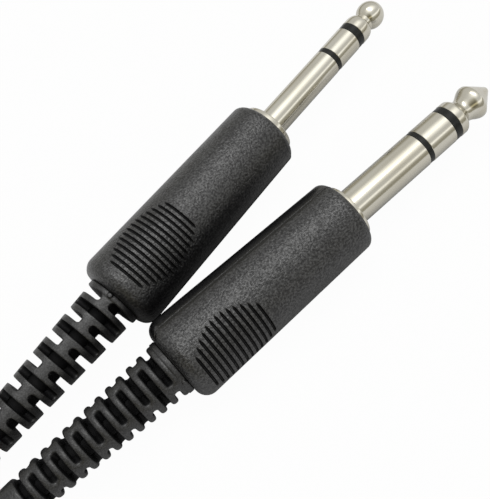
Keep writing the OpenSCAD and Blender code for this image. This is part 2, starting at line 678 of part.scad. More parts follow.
module plug_b_ring_contact() place_b() ring_contact(PLUG_B);
module plug_b_ring_insulator() place_b() ring_insulator(PLUG_B);
module plug_b_sleeve_contact() place_b() sleeve_contact(PLUG_B);
module plug_b_ground_clamp() place_b() ground_clamp(PLUG_B);
module plug_b_outer_washer() place_b() outer_washer(PLUG_B);
module plug_b_ring_lug() place_b() ring_lug(PLUG_B);
module plug_b_inner_washer() place_b() inner_washer(PLUG_B);
module plug_b_tip_lug() place_b() tip_lug(PLUG_B);
module plug_b_solder_joints() place_b() solder_joints(PLUG_B);
module plug_b_tip_wire() place_b() tip_wire(PLUG_B);
module plug_b_ring_wire() place_b() ring_wire(PLUG_B);
module plug_b_shield() place_b() shield(PLUG_B);
module plug_b_jacket_end() place_b() jacket_end(PLUG_B);
module plug_b_inner_mould() place_b() inner_mould(PLUG_B);
module plug_b_body() place_b() body(PLUG_B);
module plug_b_strain_relief() place_b() strain_relief(PLUG_B);

plug_a_tip_contact();
plug_a_tip_insulator();
plug_a_ring_contact();
plug_a_ring_insulator();
plug_a_sleeve_contact();
plug_a_ground_clamp();
plug_a_outer_washer();
plug_a_ring_lug();
plug_a_inner_washer();
plug_a_tip_lug();
plug_a_solder_joints();
plug_a_tip_wire();
plug_a_ring_wire();
plug_a_shield();
plug_a_jacket_end();
plug_a_inner_mould();
plug_a_body();
plug_a_strain_relief();
plug_b_tip_contact();
plug_b_tip_insulator();
plug_b_ring_contact();
plug_b_ring_insulator();
plug_b_sleeve_contact();
plug_b_ground_clamp();
plug_b_outer_washer();
plug_b_ring_lug();
plug_b_inner_washer();
plug_b_tip_lug();
plug_b_solder_joints();
plug_b_tip_wire();
plug_b_ring_wire();
plug_b_shield();
plug_b_jacket_end();
plug_b_inner_mould();
plug_b_body();
plug_b_strain_relief();
cord_lead_a();
cord_coil();
cord_lead_b();
coil_tie();
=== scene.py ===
"""Looks of an instrument cable with two moulded jack plugs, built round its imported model.

Shapes are worked out in millimetres in each plug's own frame, where x runs from the plug's shoulder to its
tip and z points at the grip on its upper side. Placement turns them into metres in the model's frame.
"""
import json
import logging
import math
from dataclasses import dataclass, field
from enum import Enum

import bpy
import numpy as np
from mathutils import Matrix, Vector


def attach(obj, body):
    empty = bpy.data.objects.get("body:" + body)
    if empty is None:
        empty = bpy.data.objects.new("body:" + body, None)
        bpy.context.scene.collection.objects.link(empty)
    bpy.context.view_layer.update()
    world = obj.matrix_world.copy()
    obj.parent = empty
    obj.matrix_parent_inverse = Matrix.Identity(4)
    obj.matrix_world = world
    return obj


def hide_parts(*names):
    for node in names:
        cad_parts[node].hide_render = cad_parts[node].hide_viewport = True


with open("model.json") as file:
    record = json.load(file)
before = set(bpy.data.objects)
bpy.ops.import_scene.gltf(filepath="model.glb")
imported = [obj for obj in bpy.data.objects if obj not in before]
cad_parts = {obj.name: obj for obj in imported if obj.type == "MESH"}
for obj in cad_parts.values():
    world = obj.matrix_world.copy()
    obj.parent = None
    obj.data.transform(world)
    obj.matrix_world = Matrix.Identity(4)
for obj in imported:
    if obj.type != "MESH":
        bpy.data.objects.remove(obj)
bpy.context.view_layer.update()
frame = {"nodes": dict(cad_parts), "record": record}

MM = 0.001
log = logging.getLogger("instrument_cable")


# ---- Places and measures ----

@dataclass(frozen=True)
class Placement:
    """Where a plug lies: its shoulder in millimetres, its turn about z and its roll, both in degrees."""

    shoulder: tuple[float, float, float]
    yaw: float
    roll: float

    def turn(self) -> np.ndarray:
        """Returns the rotation from the plug's frame to the model's: a roll about x, then a yaw about z."""
        yaw, roll = math.radians(self.yaw), math.radians(self.roll)
        about_z = [[math.cos(yaw), -math.sin(yaw), 0], [math.sin(yaw), math.cos(yaw), 0], [0, 0, 1]]
        about_x = [[1, 0, 0], [0, math.cos(roll), -math.sin(roll)], [0, math.sin(roll), math.cos(roll)]]
        return np.array(about_z) @ np.array(about_x)

    def to_model(self, points: np.ndarray) -> np.ndarray:
        """Takes points in the plug's frame to the model's.

        Args:
            points: Points in millimetres, the last axis holding x, y and z.

        Returns:
            The points in metres in the model's frame.
        """
        return (points @ self.turn().T + np.array(self.shoulder)) * MM

    def extent(self, node: str) -> tuple[float, float]:
        """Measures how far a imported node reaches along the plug's axis.

        Args:
            node: Name of the node.

        Returns:
            Its lowest and highest x in the plug's frame, in millimetres.
        """
        mesh = frame["nodes"][node].data
        corners = np.zeros(len(mesh.vertices) * 3)
        mesh.vertices.foreach_get("co", corners)
        along = (corners.reshape(-1, 3) / MM - np.array(self.shoulder)) @ self.turn()[:, 0]
        return float(along.min()), float(along.max())


ORIGIN = Placement((0, 0, 0), 0, 0)


def ease(s: np.ndarray) -> np.ndarray:
    """Returns a smooth rise from 0 to 1 with s: half of one minus the cosine of half a turn times s."""
    return 0.5 - 0.5 * np.cos(np.pi * np.clip(s, 0.0, 1.0))


def lengths_along(line: np.ndarray) -> np.ndarray:
    """Returns how far each point of a line lies from its start: the running sum of its chords' lengths."""
    return np.concatenate([[0], np.cumsum(np.linalg.norm(np.diff(line, axis=0), axis=1))])


def directions(line: np.ndarray) -> np.ndarray:
    """Returns a line's direction at each of its points: the gradient divided by its length."""
    along = np.gradient(line, axis=0)
    return along / np.linalg.norm(along, axis=1, keepdims=True)


def evenly(line: np.ndarray, step: float) -> np.ndarray:
    """Returns points about a step apart along a line, both ends among them."""
    along = lengths_along(line)
    at = np.linspace(0, along[-1], int(along[-1] / step) + 1)
    return np.stack([np.interp(at, along, line[:, k]) for k in range(3)], axis=1)


def arc(centre: tuple[float, float], radius: float, start: float, end: float, steps: int = 10) -> np.ndarray:
    """Works out evenly spaced points on an arc: its centre plus its radius times a cosine and a sine.

    Args:
        centre: The arc's centre.
        radius: Its radius.
        start: First angle in degrees.
        end: Last angle in degrees.
        steps: Number of chords.

    Returns:
        The points, one row each.
    """
    angle = np.radians(np.linspace(start, end, steps + 1))
    return np.stack([centre[0] + radius * np.cos(angle), centre[1] + radius * np.sin(angle)], axis=1)


def chamfered(outline: np.ndarray, cut: float) -> np.ndarray:
    """Cuts each corner of a closed outline back by the same small length along both of its sides.

    Args:
        outline: Corners in order, one row each.
        cut: Length taken off each side of a corner, never more than two fifths of a side.

    Returns:
        The outline with two points in place of each corner.
    """
    before = np.roll(outline, 1, axis=0) - outline
    after = np.roll(outline, -1, axis=0) - outline
    back, ahead = np.linalg.norm(before, axis=1, keepdims=True), np.linalg.norm(after, axis=1, keepdims=True)
    first = outline + before * np.minimum(cut / back, 0.4)
    second = outline + after * np.minimum(cut / ahead, 0.4)
    return np.stack([first, second], axis=1).reshape(-1, 2)


# ---- Meshes ----

def grid_faces(rows: int, columns: int, wrap_rows: bool, wrap_columns: bool) -> np.ndarray:
    """Lists the four corners of every cell of a grid of points numbered row by row.

    Args:
        rows: Number of rows.
        columns: Number of columns.
        wrap_rows: Whether the last row joins the first.
        wrap_columns: Whether the last column joins the first.

    Returns:
        Corner numbers, four to a row.
    """
    i = np.arange(rows if wrap_rows else rows - 1)[:, None]
    j = np.arange(columns if wrap_columns else columns - 1)[None, :]
    below, right = (i + 1) % rows, (j + 1) % columns
    cells = [i * columns + j, i * columns + right, below * columns + right, below * columns + j]
    return np.stack([c.ravel() for c in np.broadcast_arrays(*cells)], axis=1)


def fan_faces(centre: int, ring: np.ndarray) -> np.ndarray:
    """Lists the triangles from one point to every side of a ring of points, in the ring's own direction."""
    return np.stack([np.full(len(ring), centre), ring, np.roll(ring, -1)], axis=1)


def make_mesh(name: str, points: np.ndarray, faces: list[np.ndarray]) -> bpy.types.Object:
    """Puts points and faces into a new smooth-shaded mesh object at the origin.

    Args:
        name: Name of the piece.
        points: Points in metres.
        faces: Arrays of corner numbers, each with one face to a row.

    Returns:
        The new object, with its faces turned outwards.
    """
    mesh = bpy.data.meshes.new(name)
    sizes = np.concatenate([np.full(len(f), f.shape[1]) for f in faces])
    corners = np.concatenate([f.ravel() for f in faces]).astype(np.int32)
    mesh.vertices.add(len(points))
    mesh.vertices.foreach_set("co", points.astype(np.float32).ravel())
    mesh.loops.add(len(corners))
    mesh.loops.foreach_set("vertex_index", corners)
    mesh.polygons.add(len(sizes))
    mesh.polygons.foreach_set("loop_start", (np.cumsum(sizes) - sizes).astype(np.int32))
    mesh.polygons.foreach_set("use_smooth", np.ones(len(sizes), bool))
    mesh.update(calc_edges=True)
    mesh.validate()
    if signed_volume(points, faces) < 0:
        mesh.flip_normals()
    piece = bpy.data.objects.new(name, mesh)
    bpy.context.scene.collection.objects.link(piece)
    return piece


def signed_volume(points: np.ndarray, faces: list[np.ndarray]) -> float:
    """Returns the volume inside the faces, summed as signed tetrahedra: below 0 if they are inside out."""
    total = 0.0
    for f in faces:
        for k in range(1, f.shape[1] - 1):
            a, b, c = points[f[:, 0]], points[f[:, k]], points[f[:, k + 1]]
            total += float(np.einsum("ij,ij->", a, np.cross(b, c)))
    return total / 6


def add_attribute(piece: bpy.types.Object, name: str, values: np.ndarray) -> None:
    """Stores one number per vertex under a name that a material can read."""
    attribute = piece.data.attributes.new(name, "FLOAT", "POINT")
    attribute.data.foreach_set("value", values.astype(np.float32).ravel())


def revolve(name: str, outline: np.ndarray, place: Placement, segments: int = 160) -> bpy.types.Object:
    """Turns a closed outline about the plug's axis.

    A point at angle a lies at x, r sin a and r cos a. A stretch of the outline on the axis closes in one
    point at each of its ends.

    Args:
        name: Name of the piece.
        outline: Points of x and radius in millimetres. It starts and ends on the axis, or nowhere touches it.
        place: Where the plug lies.
        segments: Number of points round the axis.

    Returns:
        The new object.
    """
    solid = outline[0, 1] < 1e-6
    body = outline[1:-1] if solid else outline
    angle = np.linspace(0, 2 * np.pi, segments, endpoint=False)
    points = np.stack(np.broadcast_arrays(
        body[:, :1], body[:, 1:] * np.sin(angle), body[:, 1:] * np.cos(angle)), axis=-1)
    rows = len(body)
    faces = [grid_faces(rows, segments, not solid, True)]
    points = points.reshape(-1, 3)
    if solid:
        ring, count = np.arange(segments), len(points)
        points = np.concatenate([points, [[outline[0, 0], 0, 0], [outline[-1, 0], 0, 0]]])
        faces += [fan_faces(count, ring)[:, [0, 2, 1]], fan_faces(count + 1, (rows - 1) * segments + ring)]
    return make_mesh(name, place.to_model(points), faces)


def sweep(name: str, line: np.ndarray, side: np.ndarray, up: np.ndarray, section: np.ndarray,
          place: Placement) -> bpy.types.Object:
    """Carries a closed section along a line and closes both ends.

    The point k of the section at the line's point i is line i plus section k's first number times side i
    plus its second number times up i.

    Args:
        name: Name of the piece.
        line: Points of the line in millimetres.
        side: For each of them the direction of the section's first axis.
        up: For each of them the direction of its second axis.
        section: Points of the section in millimetres, in order round it.
        place: Where the line's frame lies.

    Returns:
        The new object.
    """
    u, v = section[None, :, :1], section[None, :, 1:]
    rings = line[:, None] + u * side[:, None] + v * up[:, None]
    rows, columns = rings.shape[:2]
    points = np.concatenate([rings.reshape(-1, 3), line[[0, -1]]])
    ring, count = np.arange(columns), rows * columns
    faces = [grid_faces(rows, columns, False, True), fan_faces(count, ring)[:, [0, 2, 1]],
             fan_faces(count + 1, (rows - 1) * columns + ring)]
    return make_mesh(name, place.to_model(points), faces)


def surface_net(field_values: np.ndarray, low: np.ndarray, step: float) -> tuple[np.ndarray, np.ndarray]:
    """Wraps a closed surface of quads round the grid points where a field is negative.

    Every cell that the surface crosses gets one point, the mean of the zero crossings on its edges, found by
    straight interpolation. Every grid edge that changes sign gets one face, which joins the points of its
    four cells.

    Args:
        field_values: The field on a grid, positive on its outermost layers.
        low: Place of the grid's first point.
        step: Distance between grid points.

    Returns:
        The points, and the faces with four corners each.
    """
    inside = field_values < 0
    shape = np.array(field_values.shape)
    total, count = np.zeros((*(shape - 1), 3)), np.zeros(shape - 1)
    crossings = []
    for axis in range(3):
        start, end = [slice(None)] * 3, [slice(None)] * 3
        start[axis], end[axis] = slice(0, -1), slice(1, None)
        a, b = field_values[tuple(start)], field_values[tuple(end)]
        crossed = np.argwhere(inside[tuple(start)] != inside[tuple(end)])
        va, vb = a[tuple(crossed.T)], b[tuple(crossed.T)]
        place = crossed.astype(float)
        place[:, axis] += va / (va - vb)
        others = [k for k in range(3) if k != axis]
        for da in (0, 1):
            for db in (0, 1):
                cell = crossed.copy()
                cell[:, others[0]] -= da
                cell[:, others[1]] -= db
                np.add.at(total, tuple(cell.T), place)
                np.add.at(count, tuple(cell.T), 1)
        crossings.append((axis, others, crossed, va < 0))
    used = np.argwhere(count > 0)
    number = np.full(shape - 1, -1)
    number[tuple(used.T)] = np.arange(len(used))
    points = low + step * total[tuple(used.T)] / count[tuple(used.T)][:, None]
    faces = []
    for axis, others, crossed, leaving in crossings:
        ring = []
        for da, db in ((0, 0), (1, 0), (1, 1), (0, 1)):
            cell = crossed.copy()
            cell[:, others[0]] -= da
            cell[:, others[1]] -= db
            ring.append(number[tuple(cell.T)])
        quads = np.stack(ring, axis=1)
        flip = leaving if axis != 1 else ~leaving
        quads[flip] = quads[flip][:, ::-1]
        faces.append(quads)
    return points, np.concatenate(faces)


# ---- Finishes ----

NOISE_SPAN = (0.3, 0.7)  # where most of a noise texture's values lie


class Tree:
    """A node tree of the world or of a material, built one node at a time."""

    def __init__(self, node_tree: bpy.types.NodeTree) -> None:
        """Empties the tree to begin with."""
        self.nodes, self.links = node_tree.nodes, node_tree.links
        self.nodes.clear()

    def add(self, kind: str, inputs: dict | None = None, **settings) -> bpy.types.Node:
        """Adds a node.

        Args:
            kind: Blender's name of the node type.
            inputs: For each input's name or number, a value, or an output socket to link to it.
            **settings: Properties of the node.

        Returns:
            The new node.
        """
        node = self.nodes.new(kind)
        for name, value in settings.items():
            setattr(node, name, value)
        for name, value in (inputs or {}).items():
            if isinstance(value, bpy.types.NodeSocket):
                self.links.new(value, node.inputs[name])
            else:
                node.inputs[name].default_value = value
        return node

    def ramp(self, value: bpy.types.NodeSocket, low: float, high: float, out_low: float = 0.0,
             out_high: float = 1.0, course: str = "LINEAR") -> bpy.types.NodeSocket:
        """Returns value stretched so that low becomes out_low and high out_high, and held outside them."""
        return self.add("ShaderNodeMapRange", {
            "Value": value, "From Min": low, "From Max": high, "To Min": out_low, "To Max": out_high,
        }, interpolation_type=course).outputs["Result"]

    def bell(self, value: bpy.types.NodeSocket, middle: float, half: float) -> bpy.types.NodeSocket:
        """Returns 1 at the middle, easing to 0 at half beyond it on either side."""
        off = self.math("ABSOLUTE", self.math("SUBTRACT", value, middle))
        return self.ramp(off, 0.0, half, 1.0, 0.0, "SMOOTHSTEP")

    def noise(self, place: bpy.types.NodeSocket, size: float, detail: float = 2.0,
              rough: float = 0.5) -> bpy.types.NodeSocket:
        """Returns soft noise whose blots are about size metres across."""
        return self.add("ShaderNodeTexNoise", {
            "Vector": place, "Scale": 1 / size, "Detail": detail, "Roughness": rough,
        }).outputs["Fac"]

    def math(self, operation: str, *values: bpy.types.NodeSocket | float) -> bpy.types.NodeSocket:
        """Returns the result of a sum on one, two or three values."""
        return self.add("ShaderNodeMath", dict(enumerate(values)), operation=operation).outputs[0]

    def mix(self, share: bpy.types.NodeSocket, first: bpy.types.NodeSocket | tuple,
            second: tuple) -> bpy.types.NodeSocket:
        """Returns a colour between two, first at share 0 and second at share 1."""
        start = first if isinstance(first, bpy.types.NodeSocket) else (*first, 1)
        return self.add("ShaderNodeMix", {
            "Factor": share, 6: start, 7: (*second, 1)}, data_type="RGBA").outputs[2]

    def attribute(self, name: str) -> bpy.types.NodeSocket:
        """Returns the number that a mesh stores under that name."""
        return self.add("ShaderNodeAttribute", attribute_name=name).outputs["Fac"]

    def bump(self, height: bpy.types.NodeSocket, depth: float) -> bpy.types.NodeSocket:
        """Returns a normal tilted by a height from 0 to 1 that stands for depth metres."""
        return self.add("ShaderNodeBump", {
            "Height": height, "Distance": depth, "Strength": 1.0}).outputs["Normal"]

    def own_place(self, place: Placement,
                  stretch: tuple[float, float, float] = (1, 1, 1)) -> bpy.types.NodeSocket:
        """Returns Object coordinates along the plug's own axes, each times its stretch."""
        where = self.add("ShaderNodeTexCoord").outputs["Object"]
        centred = self.add("ShaderNodeVectorMath", {
            0: where, 1: tuple(-c * MM for c in place.shoulder)}, operation="ADD").outputs[0]
        back = Matrix(place.turn().T.tolist()).to_euler()
        turned = self.add("ShaderNodeMapping", {"Vector": centred, "Rotation": back}, vector_type="POINT")
        return self.add("ShaderNodeVectorMath", {0: turned.outputs[0], 1: stretch},
                        operation="MULTIPLY").outputs[0]


class MaterialTree(Tree):
    """The node tree of a new material."""

    def __init__(self, name: str) -> None:
        """Starts a material of that name."""
        self.material = bpy.data.materials.new(name)
        self.material.use_nodes = True
        super().__init__(self.material.node_tree)

    def show(self, shader: bpy.types.Node) -> bpy.types.Material:
        """Makes a shader the material's surface and returns the material."""
        self.add("ShaderNodeOutputMaterial", {0: shader.outputs[0]})
        return self.material

    def finish(self, inputs: dict) -> bpy.types.Material:
        """Makes the surface shader with these inputs the material's surface and returns the material."""
        return self.show(self.add("ShaderNodeBsdfPrincipled", inputs))


@dataclass(frozen=True)
class Metal:
    """A plated or bare metal with faint turning marks round its axis."""

    name: str
    bright: tuple[float, float, float]
    dull: tuple[float, float, float]
    roughness: tuple[float, float]
    mark_size: float = 0.09 * MM
    mark_depth: float = 0.0006 * MM
    blot_size: float = 1.6 * MM
    blot_stretch: tuple[float, float, float] = (0.12, 1, 1)
    mark_stretch: tuple[float, float, float] = (1, 0.02, 0.02)
    dull_span: tuple[float, float] = (0.35, 0.7)

    def material(self, place: Placement) -> bpy.types.Material:
        """Returns the material on a plug: blots drawn out along the axis tint it, and fine rings tilt it."""
        tree = MaterialTree(self.name)
        streaks = tree.noise(tree.own_place(place, self.blot_stretch), self.blot_size, 3.0)
        marks = tree.noise(tree.own_place(place, self.mark_stretch), self.mark_size, 2.0)
        return tree.finish({
            "Base Color": tree.mix(tree.ramp(streaks, *self.dull_span), self.bright, self.dull),
            "Metallic": 1.0,
            "Roughness": tree.ramp(streaks, *NOISE_SPAN, *self.roughness),
            "Normal": tree.bump(marks, self.mark_depth),
        })


@dataclass(frozen=True)
class Plastic:
    """A moulded plastic or rubber with a fine grain."""

    name: str
    colour: tuple[float, float, float]
    light: tuple[float, float, float]
    roughness: tuple[float, float]
    grain_size: float
    grain_depth: float
    specular: float = 0.5
    grain_rough: float = 0.6
    blots: float = 12.0
    light_span: tuple[float, float] = (0.4, 0.75)

    def material(self, place: Placement) -> bpy.types.Material:
        """Returns the material on a plug: a grain gives its colour and bump, and wider blots its gloss."""
        tree = MaterialTree(self.name)
        where = tree.own_place(place)
        grain = tree.noise(where, self.grain_size, 2.0, self.grain_rough)
        blots = tree.noise(where, self.grain_size * self.blots, 2.0)
        return tree.finish({
            "Base Color": tree.mix(tree.ramp(grain, *self.light_span), self.colour, self.light),
            "Roughness": tree.ramp(blots, *NOISE_SPAN, *self.roughness),
            "Specular IOR Level": self.specular,
            "Normal": tree.bump(grain, self.grain_depth),
        })


@dataclass(frozen=True)
class HollowPlastic:
    """Black plastic with a pebbled face, smooth lands, and hollows darkened by painted shade."""

    name: str
    colour: tuple[float, float, float]
    speck: tuple[float, float, float]
    grain_size: float
    grain_depth: float
    roughness: tuple[float, float]
    land: tuple[float, float, float] = (0.005, 0.005, 0.0055)
    land_roughness: float = 0.22
    hollow_roughness: float = 0.6
    # Share of the reflection left in the hollows, which paints their shade.
    hollow_tint: float = 0.2
    land_tint: float = 0.45
    glint: float = 0.4
    specular: float = 1.0
    grain_rough: float = 0.55
    blots: float = 14.0
    speck_span: tuple[float, float] = (0.48, 0.66)
    glint_span: tuple[float, float] = (0.36, 0.64)

    def material(self, place: Placement) -> bpy.types.Material:
        """Returns the material on a plug, which reads from the mesh the land and the hollows' painted shade.
        """
        tree = MaterialTree(self.name)
        where = tree.own_place(place)
        land, hollow = tree.attribute("land"), tree.attribute("hollow")
        smooth = tree.math("MAXIMUM", land, hollow)
        grained = tree.math("SUBTRACT", 1.0, smooth)
        grain = tree.noise(where, self.grain_size, 2.0, self.grain_rough)
        blots = tree.noise(where, self.grain_size * self.blots, 2.0)
        pebbles = tree.mix(tree.ramp(grain, *self.speck_span), self.colour, self.speck)
        glint = tree.ramp(grain, *self.glint_span, self.glint, 1.0)
        rough = tree.ramp(blots, *NOISE_SPAN, *self.roughness)
        plain = tree.ramp(hollow, 0.0, 1.0, self.land_roughness, self.hollow_roughness)
        # Painted shade: in the hollows the reflection is dimmed and the colour falls to the darker land
        # colour. The land's own duller reflection is dimmed here too.
        painted_shade_and_land = tree.math("ADD", tree.math("MULTIPLY", hollow, 1 - self.hollow_tint),
                        tree.math("MULTIPLY", land, 1 - self.land_tint))
        shine = tree.math("MULTIPLY", glint, tree.math("MAXIMUM", tree.math("SUBTRACT", 1.0, painted_shade_and_land), 0.0))
        tint = tree.add("ShaderNodeCombineColor", {0: shine, 1: shine, 2: shine}).outputs[0]
        return tree.finish({
            "Base Color": tree.mix(smooth, pebbles, self.land),
            "Roughness": tree.math("ADD", tree.math("MULTIPLY", rough, grained),
                                   tree.math("MULTIPLY", smooth, plain)),
            "Specular IOR Level": self.specular,
            "Specular Tint": tint,
            "Normal": tree.bump(tree.math("MULTIPLY", grain, grained), self.grain_depth),
        })


@dataclass(frozen=True)
class Woven:
    """The tie's black hook-and-loop tape, woven, with a fine selvedge along both edges."""

    name: str
    colour: tuple[float, float, float] = (0.012, 0.012, 0.013)
    light: tuple[float, float, float] = (0.04, 0.04, 0.042)
    thread: float = 0.4
    warp_share: float = 1.3
    selvedge: float = 3.3
    selvedge_edge: float = 0.1
    fuzz_size: float = 0.12 * MM
    fuzz_share: float = 0.3
    depth: float = 0.06 * MM
    light_span: tuple[float, float] = (0.2, 0.8)
    roughness: float = 0.85
    sheen: float = 0.25
    sheen_roughness: float = 0.4

    def material(self, place: Placement) -> bpy.types.Material:
        """Returns the material: sines along and across the tape cross as threads, with fuzz over them."""
        tree = MaterialTree(self.name)
        along, across = tree.attribute("along"), tree.attribute("across")
        turn = 2 * math.pi / self.thread
        weft = tree.math("SINE", tree.math("MULTIPLY", along, turn))
        warp = tree.math("SINE", tree.math("MULTIPLY", across, turn * self.warp_share))
        threads = tree.ramp(tree.math("MULTIPLY", weft, warp), -1.0, 1.0)
        edge = tree.ramp(tree.math("ABSOLUTE", across), self.selvedge, self.selvedge + self.selvedge_edge)
        fuzz = tree.noise(tree.own_place(place), self.fuzz_size, 3.0, 0.7)
        weave = tree.math("MULTIPLY", tree.math("MAXIMUM", threads, edge), 1 - self.fuzz_share)
        height = tree.math("ADD", weave, tree.math("MULTIPLY", fuzz, self.fuzz_share))
        return tree.finish({
            "Base Color": tree.mix(tree.ramp(height, *self.light_span), self.colour, self.light),
            "Roughness": self.roughness,
            "Sheen Weight": self.sheen,
            "Sheen Roughness": self.sheen_roughness,
            "Normal": tree.bump(height, self.depth),
        })


class Finish(Enum):
    """The finishes of the cable, by the record's material slot."""

    nickel = Metal("nickel", (0.56, 0.54, 0.475), (0.49, 0.46, 0.38), (0.12, 0.19))
    insulator = Plastic(
        "insulator", (0.010, 0.011, 0.010), (0.015, 0.016, 0.014), (0.28, 0.34), 0.5 * MM, 0.002 * MM, 0.22)
    terminal = Metal("terminal", (0.72, 0.70, 0.64), (0.55, 0.52, 0.45), (0.25, 0.4))
    washer = Plastic("washer", (0.60, 0.50, 0.34), (0.70, 0.60, 0.44), (0.6, 0.7), 0.25 * MM, 0.01 * MM)
    solder = Metal("solder", (0.70, 0.71, 0.72), (0.56, 0.57, 0.58), (0.22, 0.35), 0.4 * MM, 0.01 * MM)
    red_insulation = Plastic(
        "red_insulation", (0.42, 0.02, 0.02), (0.5, 0.03, 0.03), (0.3, 0.4), 0.3 * MM, 0.002 * MM)
    white_insulation = Plastic(
        "white_insulation", (0.72, 0.72, 0.69), (0.78, 0.78, 0.75), (0.3, 0.4), 0.3 * MM, 0.002 * MM)
    copper = Metal("copper", (0.80, 0.44, 0.28), (0.62, 0.30, 0.18), (0.25, 0.4), 0.12 * MM, 0.02 * MM)
    jacket = Plastic(
        "jacket", (0.010, 0.010, 0.0105), (0.016, 0.016, 0.017), (0.4, 0.5), 0.2 * MM, 0.004 * MM)
    # The jacket where it ends inside the strain relief, as a darker and duller copy of the jacket: painted
    # shade.
    jacket_end = Plastic(
        "jacket_end", (0.004, 0.004, 0.0045), (0.006, 0.006, 0.0065), (0.6, 0.7), 0.2 * MM, 0.004 * MM, 0.12)
    inner_mould = Plastic(
        "inner_mould", (0.62, 0.60, 0.52), (0.68, 0.66, 0.58), (0.5, 0.6), 0.4 * MM, 0.006 * MM)
    strain_relief = HollowPlastic(
        "strain_relief", (0.008, 0.008, 0.0085), (0.02, 0.02, 0.021), 0.25 * MM, 0.03 * MM, (0.38, 0.46),
        glint=0.6, specular=0.75)
    strap = Woven("strap")
    body = HollowPlastic(
        "body", (0.005, 0.005, 0.0055), (0.016, 0.016, 0.0165), 0.34 * MM, 0.13 * MM, (0.34, 0.41))


# ---- The plugs ----

@dataclass
class PlugPart:
    """Something that belongs to one of the two plugs."""

    letter: str
    place: Placement

    def named(self, part: str) -> str:
        """Returns the full name of a part of this plug."""
        return f"plug_{self.letter}_{part}"

    def span(self, part: str) -> tuple[float, float]:
        """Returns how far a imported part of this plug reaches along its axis."""
        return self.place.extent(self.named(part))


@dataclass
class Contacts(PlugPart):
    """A plug's shaft: three nickel contacts, one inside another, with black insulating rings between them."""

    radius: float
    collar_step: float = 3.6
    collar_radius: float = 4.55
    flange_radius: float = 4.85
    flange_face: float = 0.35
    step_face: float = 0.25
    flange_edge: float = 0.15
    rod_radius: float = 0.8
    ring_bore: float = 1.19
    ring_tube: float = 1.59
    sleeve_bore: float = 2.03
    barrel_radius: float = 2.9
    barrel_length: float = 3.0
    flare_radius: float = 2.0
    rivet_radius: float = 1.3
    rivet_length: float = 0.4
    rivet_edge: float = 0.1
    fit: float = 0.02
    recess: float = 0.05
    edge: float = 0.07
    sharpest: float = 38.0
    spans: dict[str, tuple[float, float]] = field(default_factory=dict)

    def __post_init__(self) -> None:
        """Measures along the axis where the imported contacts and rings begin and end."""
        for part in ("tip_contact", "tip_insulator", "ring_contact", "ring_insulator", "sleeve_contact"):
            self.spans[part] = self.span(part)

    def tip_profile(self, back: float, apex: float) -> np.ndarray:
        """Works out the outline of the tip from the insulator to the apex.

        Args:
            back: Where the tip's shoulder starts.
            apex: Where the tip ends.

        Returns:
            Points of x and radius. This plain one is a cylinder with a round end.
        """
        end = arc((apex - self.radius, 0), self.radius, 90, 0, 24)
        return np.concatenate([[[back, self.radius]], end])

    def build(self) -> list[bpy.types.Object]:
        """Builds and dresses the five pieces of the shaft, and returns them.

        The collar's flange and step end at fixed shares of the way from the shoulder to the body's front.
        """
        r, f = self.radius, self.fit
        rivet, apex = self.spans["tip_contact"]
        sleeve_back, sleeve_front = self.spans["sleeve_contact"]
        core_back, ring_front = self.spans["ring_contact"]
        ring_back = self.spans["ring_insulator"][1]
        tip_back = self.spans["tip_insulator"][1]
        collar_back = sleeve_back + self.barrel_length
        front = self.span("body")[1]
        rivet_front, cut = rivet + self.rivet_length, self.rivet_edge
        rod = np.array([[rivet, 0], [rivet, self.rivet_radius - cut], [rivet + cut, self.rivet_radius],
                        [rivet_front, self.rivet_radius], [rivet_front, self.rod_radius],
                        [tip_back, self.rod_radius], [tip_back, r - self.edge]])
        tip = self.tip_profile(tip_back + self.edge, apex)
        ring = np.array([[core_back, self.ring_bore], [core_back, self.flare_radius],
                         [core_back + self.rivet_length, self.flare_radius],
                         [core_back + self.rivet_length, self.ring_tube], [ring_back, self.ring_tube],
                         [ring_back, r], [ring_front, r], [ring_front, self.ring_bore]])
        sleeve = np.array([
            [sleeve_back, self.sleeve_bore], [sleeve_back, self.barrel_radius],
            [collar_back, self.barrel_radius], [collar_back, self.collar_radius],
            [front, self.collar_radius], [front, self.flange_radius],
            [front * self.flange_face, self.flange_radius],
            [front * self.step_face, self.flange_radius - self.flange_edge],
            [front * self.step_face, self.collar_step], [0, self.collar_step],
            [0, r], [sleeve_front, r], [sleeve_front, self.sleeve_bore]])
        outer_ring = np.array([
            [sleeve_back, self.ring_tube + f], [sleeve_back, self.sleeve_bore - f],
            [sleeve_front, self.sleeve_bore - f], [sleeve_front, r - self.recess],
            [ring_back, r - self.recess], [ring_back, self.ring_tube + f]])
        inner_ring = np.array([
            [core_back, self.rod_radius + f], [core_back, self.ring_bore - f],
            [ring_front, self.ring_bore - f], [ring_front, r - self.recess],
            [tip_back, r - self.recess], [tip_back, self.rod_radius + f]])
        nickel, black = Finish.nickel.value, Finish.insulator.value
        shapes = {
            "tip_contact": (np.concatenate([rod, tip]), nickel),
            "ring_contact": (chamfered(ring, self.edge), nickel),
            "sleeve_contact": (chamfered(sleeve, self.edge), nickel),
            "ring_insulator": (outer_ring, black),
            "tip_insulator": (inner_ring, black),
        }
        pieces = []
        for part, (outline, finish) in shapes.items():
            piece = revolve(self.named(f"{part}_turned"), outline, self.place)
            piece.modifiers.new("edges", "EDGE_SPLIT").split_angle = math.radians(self.sharpest)
            pieces.append(dress(piece, finish, self.place, self.named(part)))
        return pieces


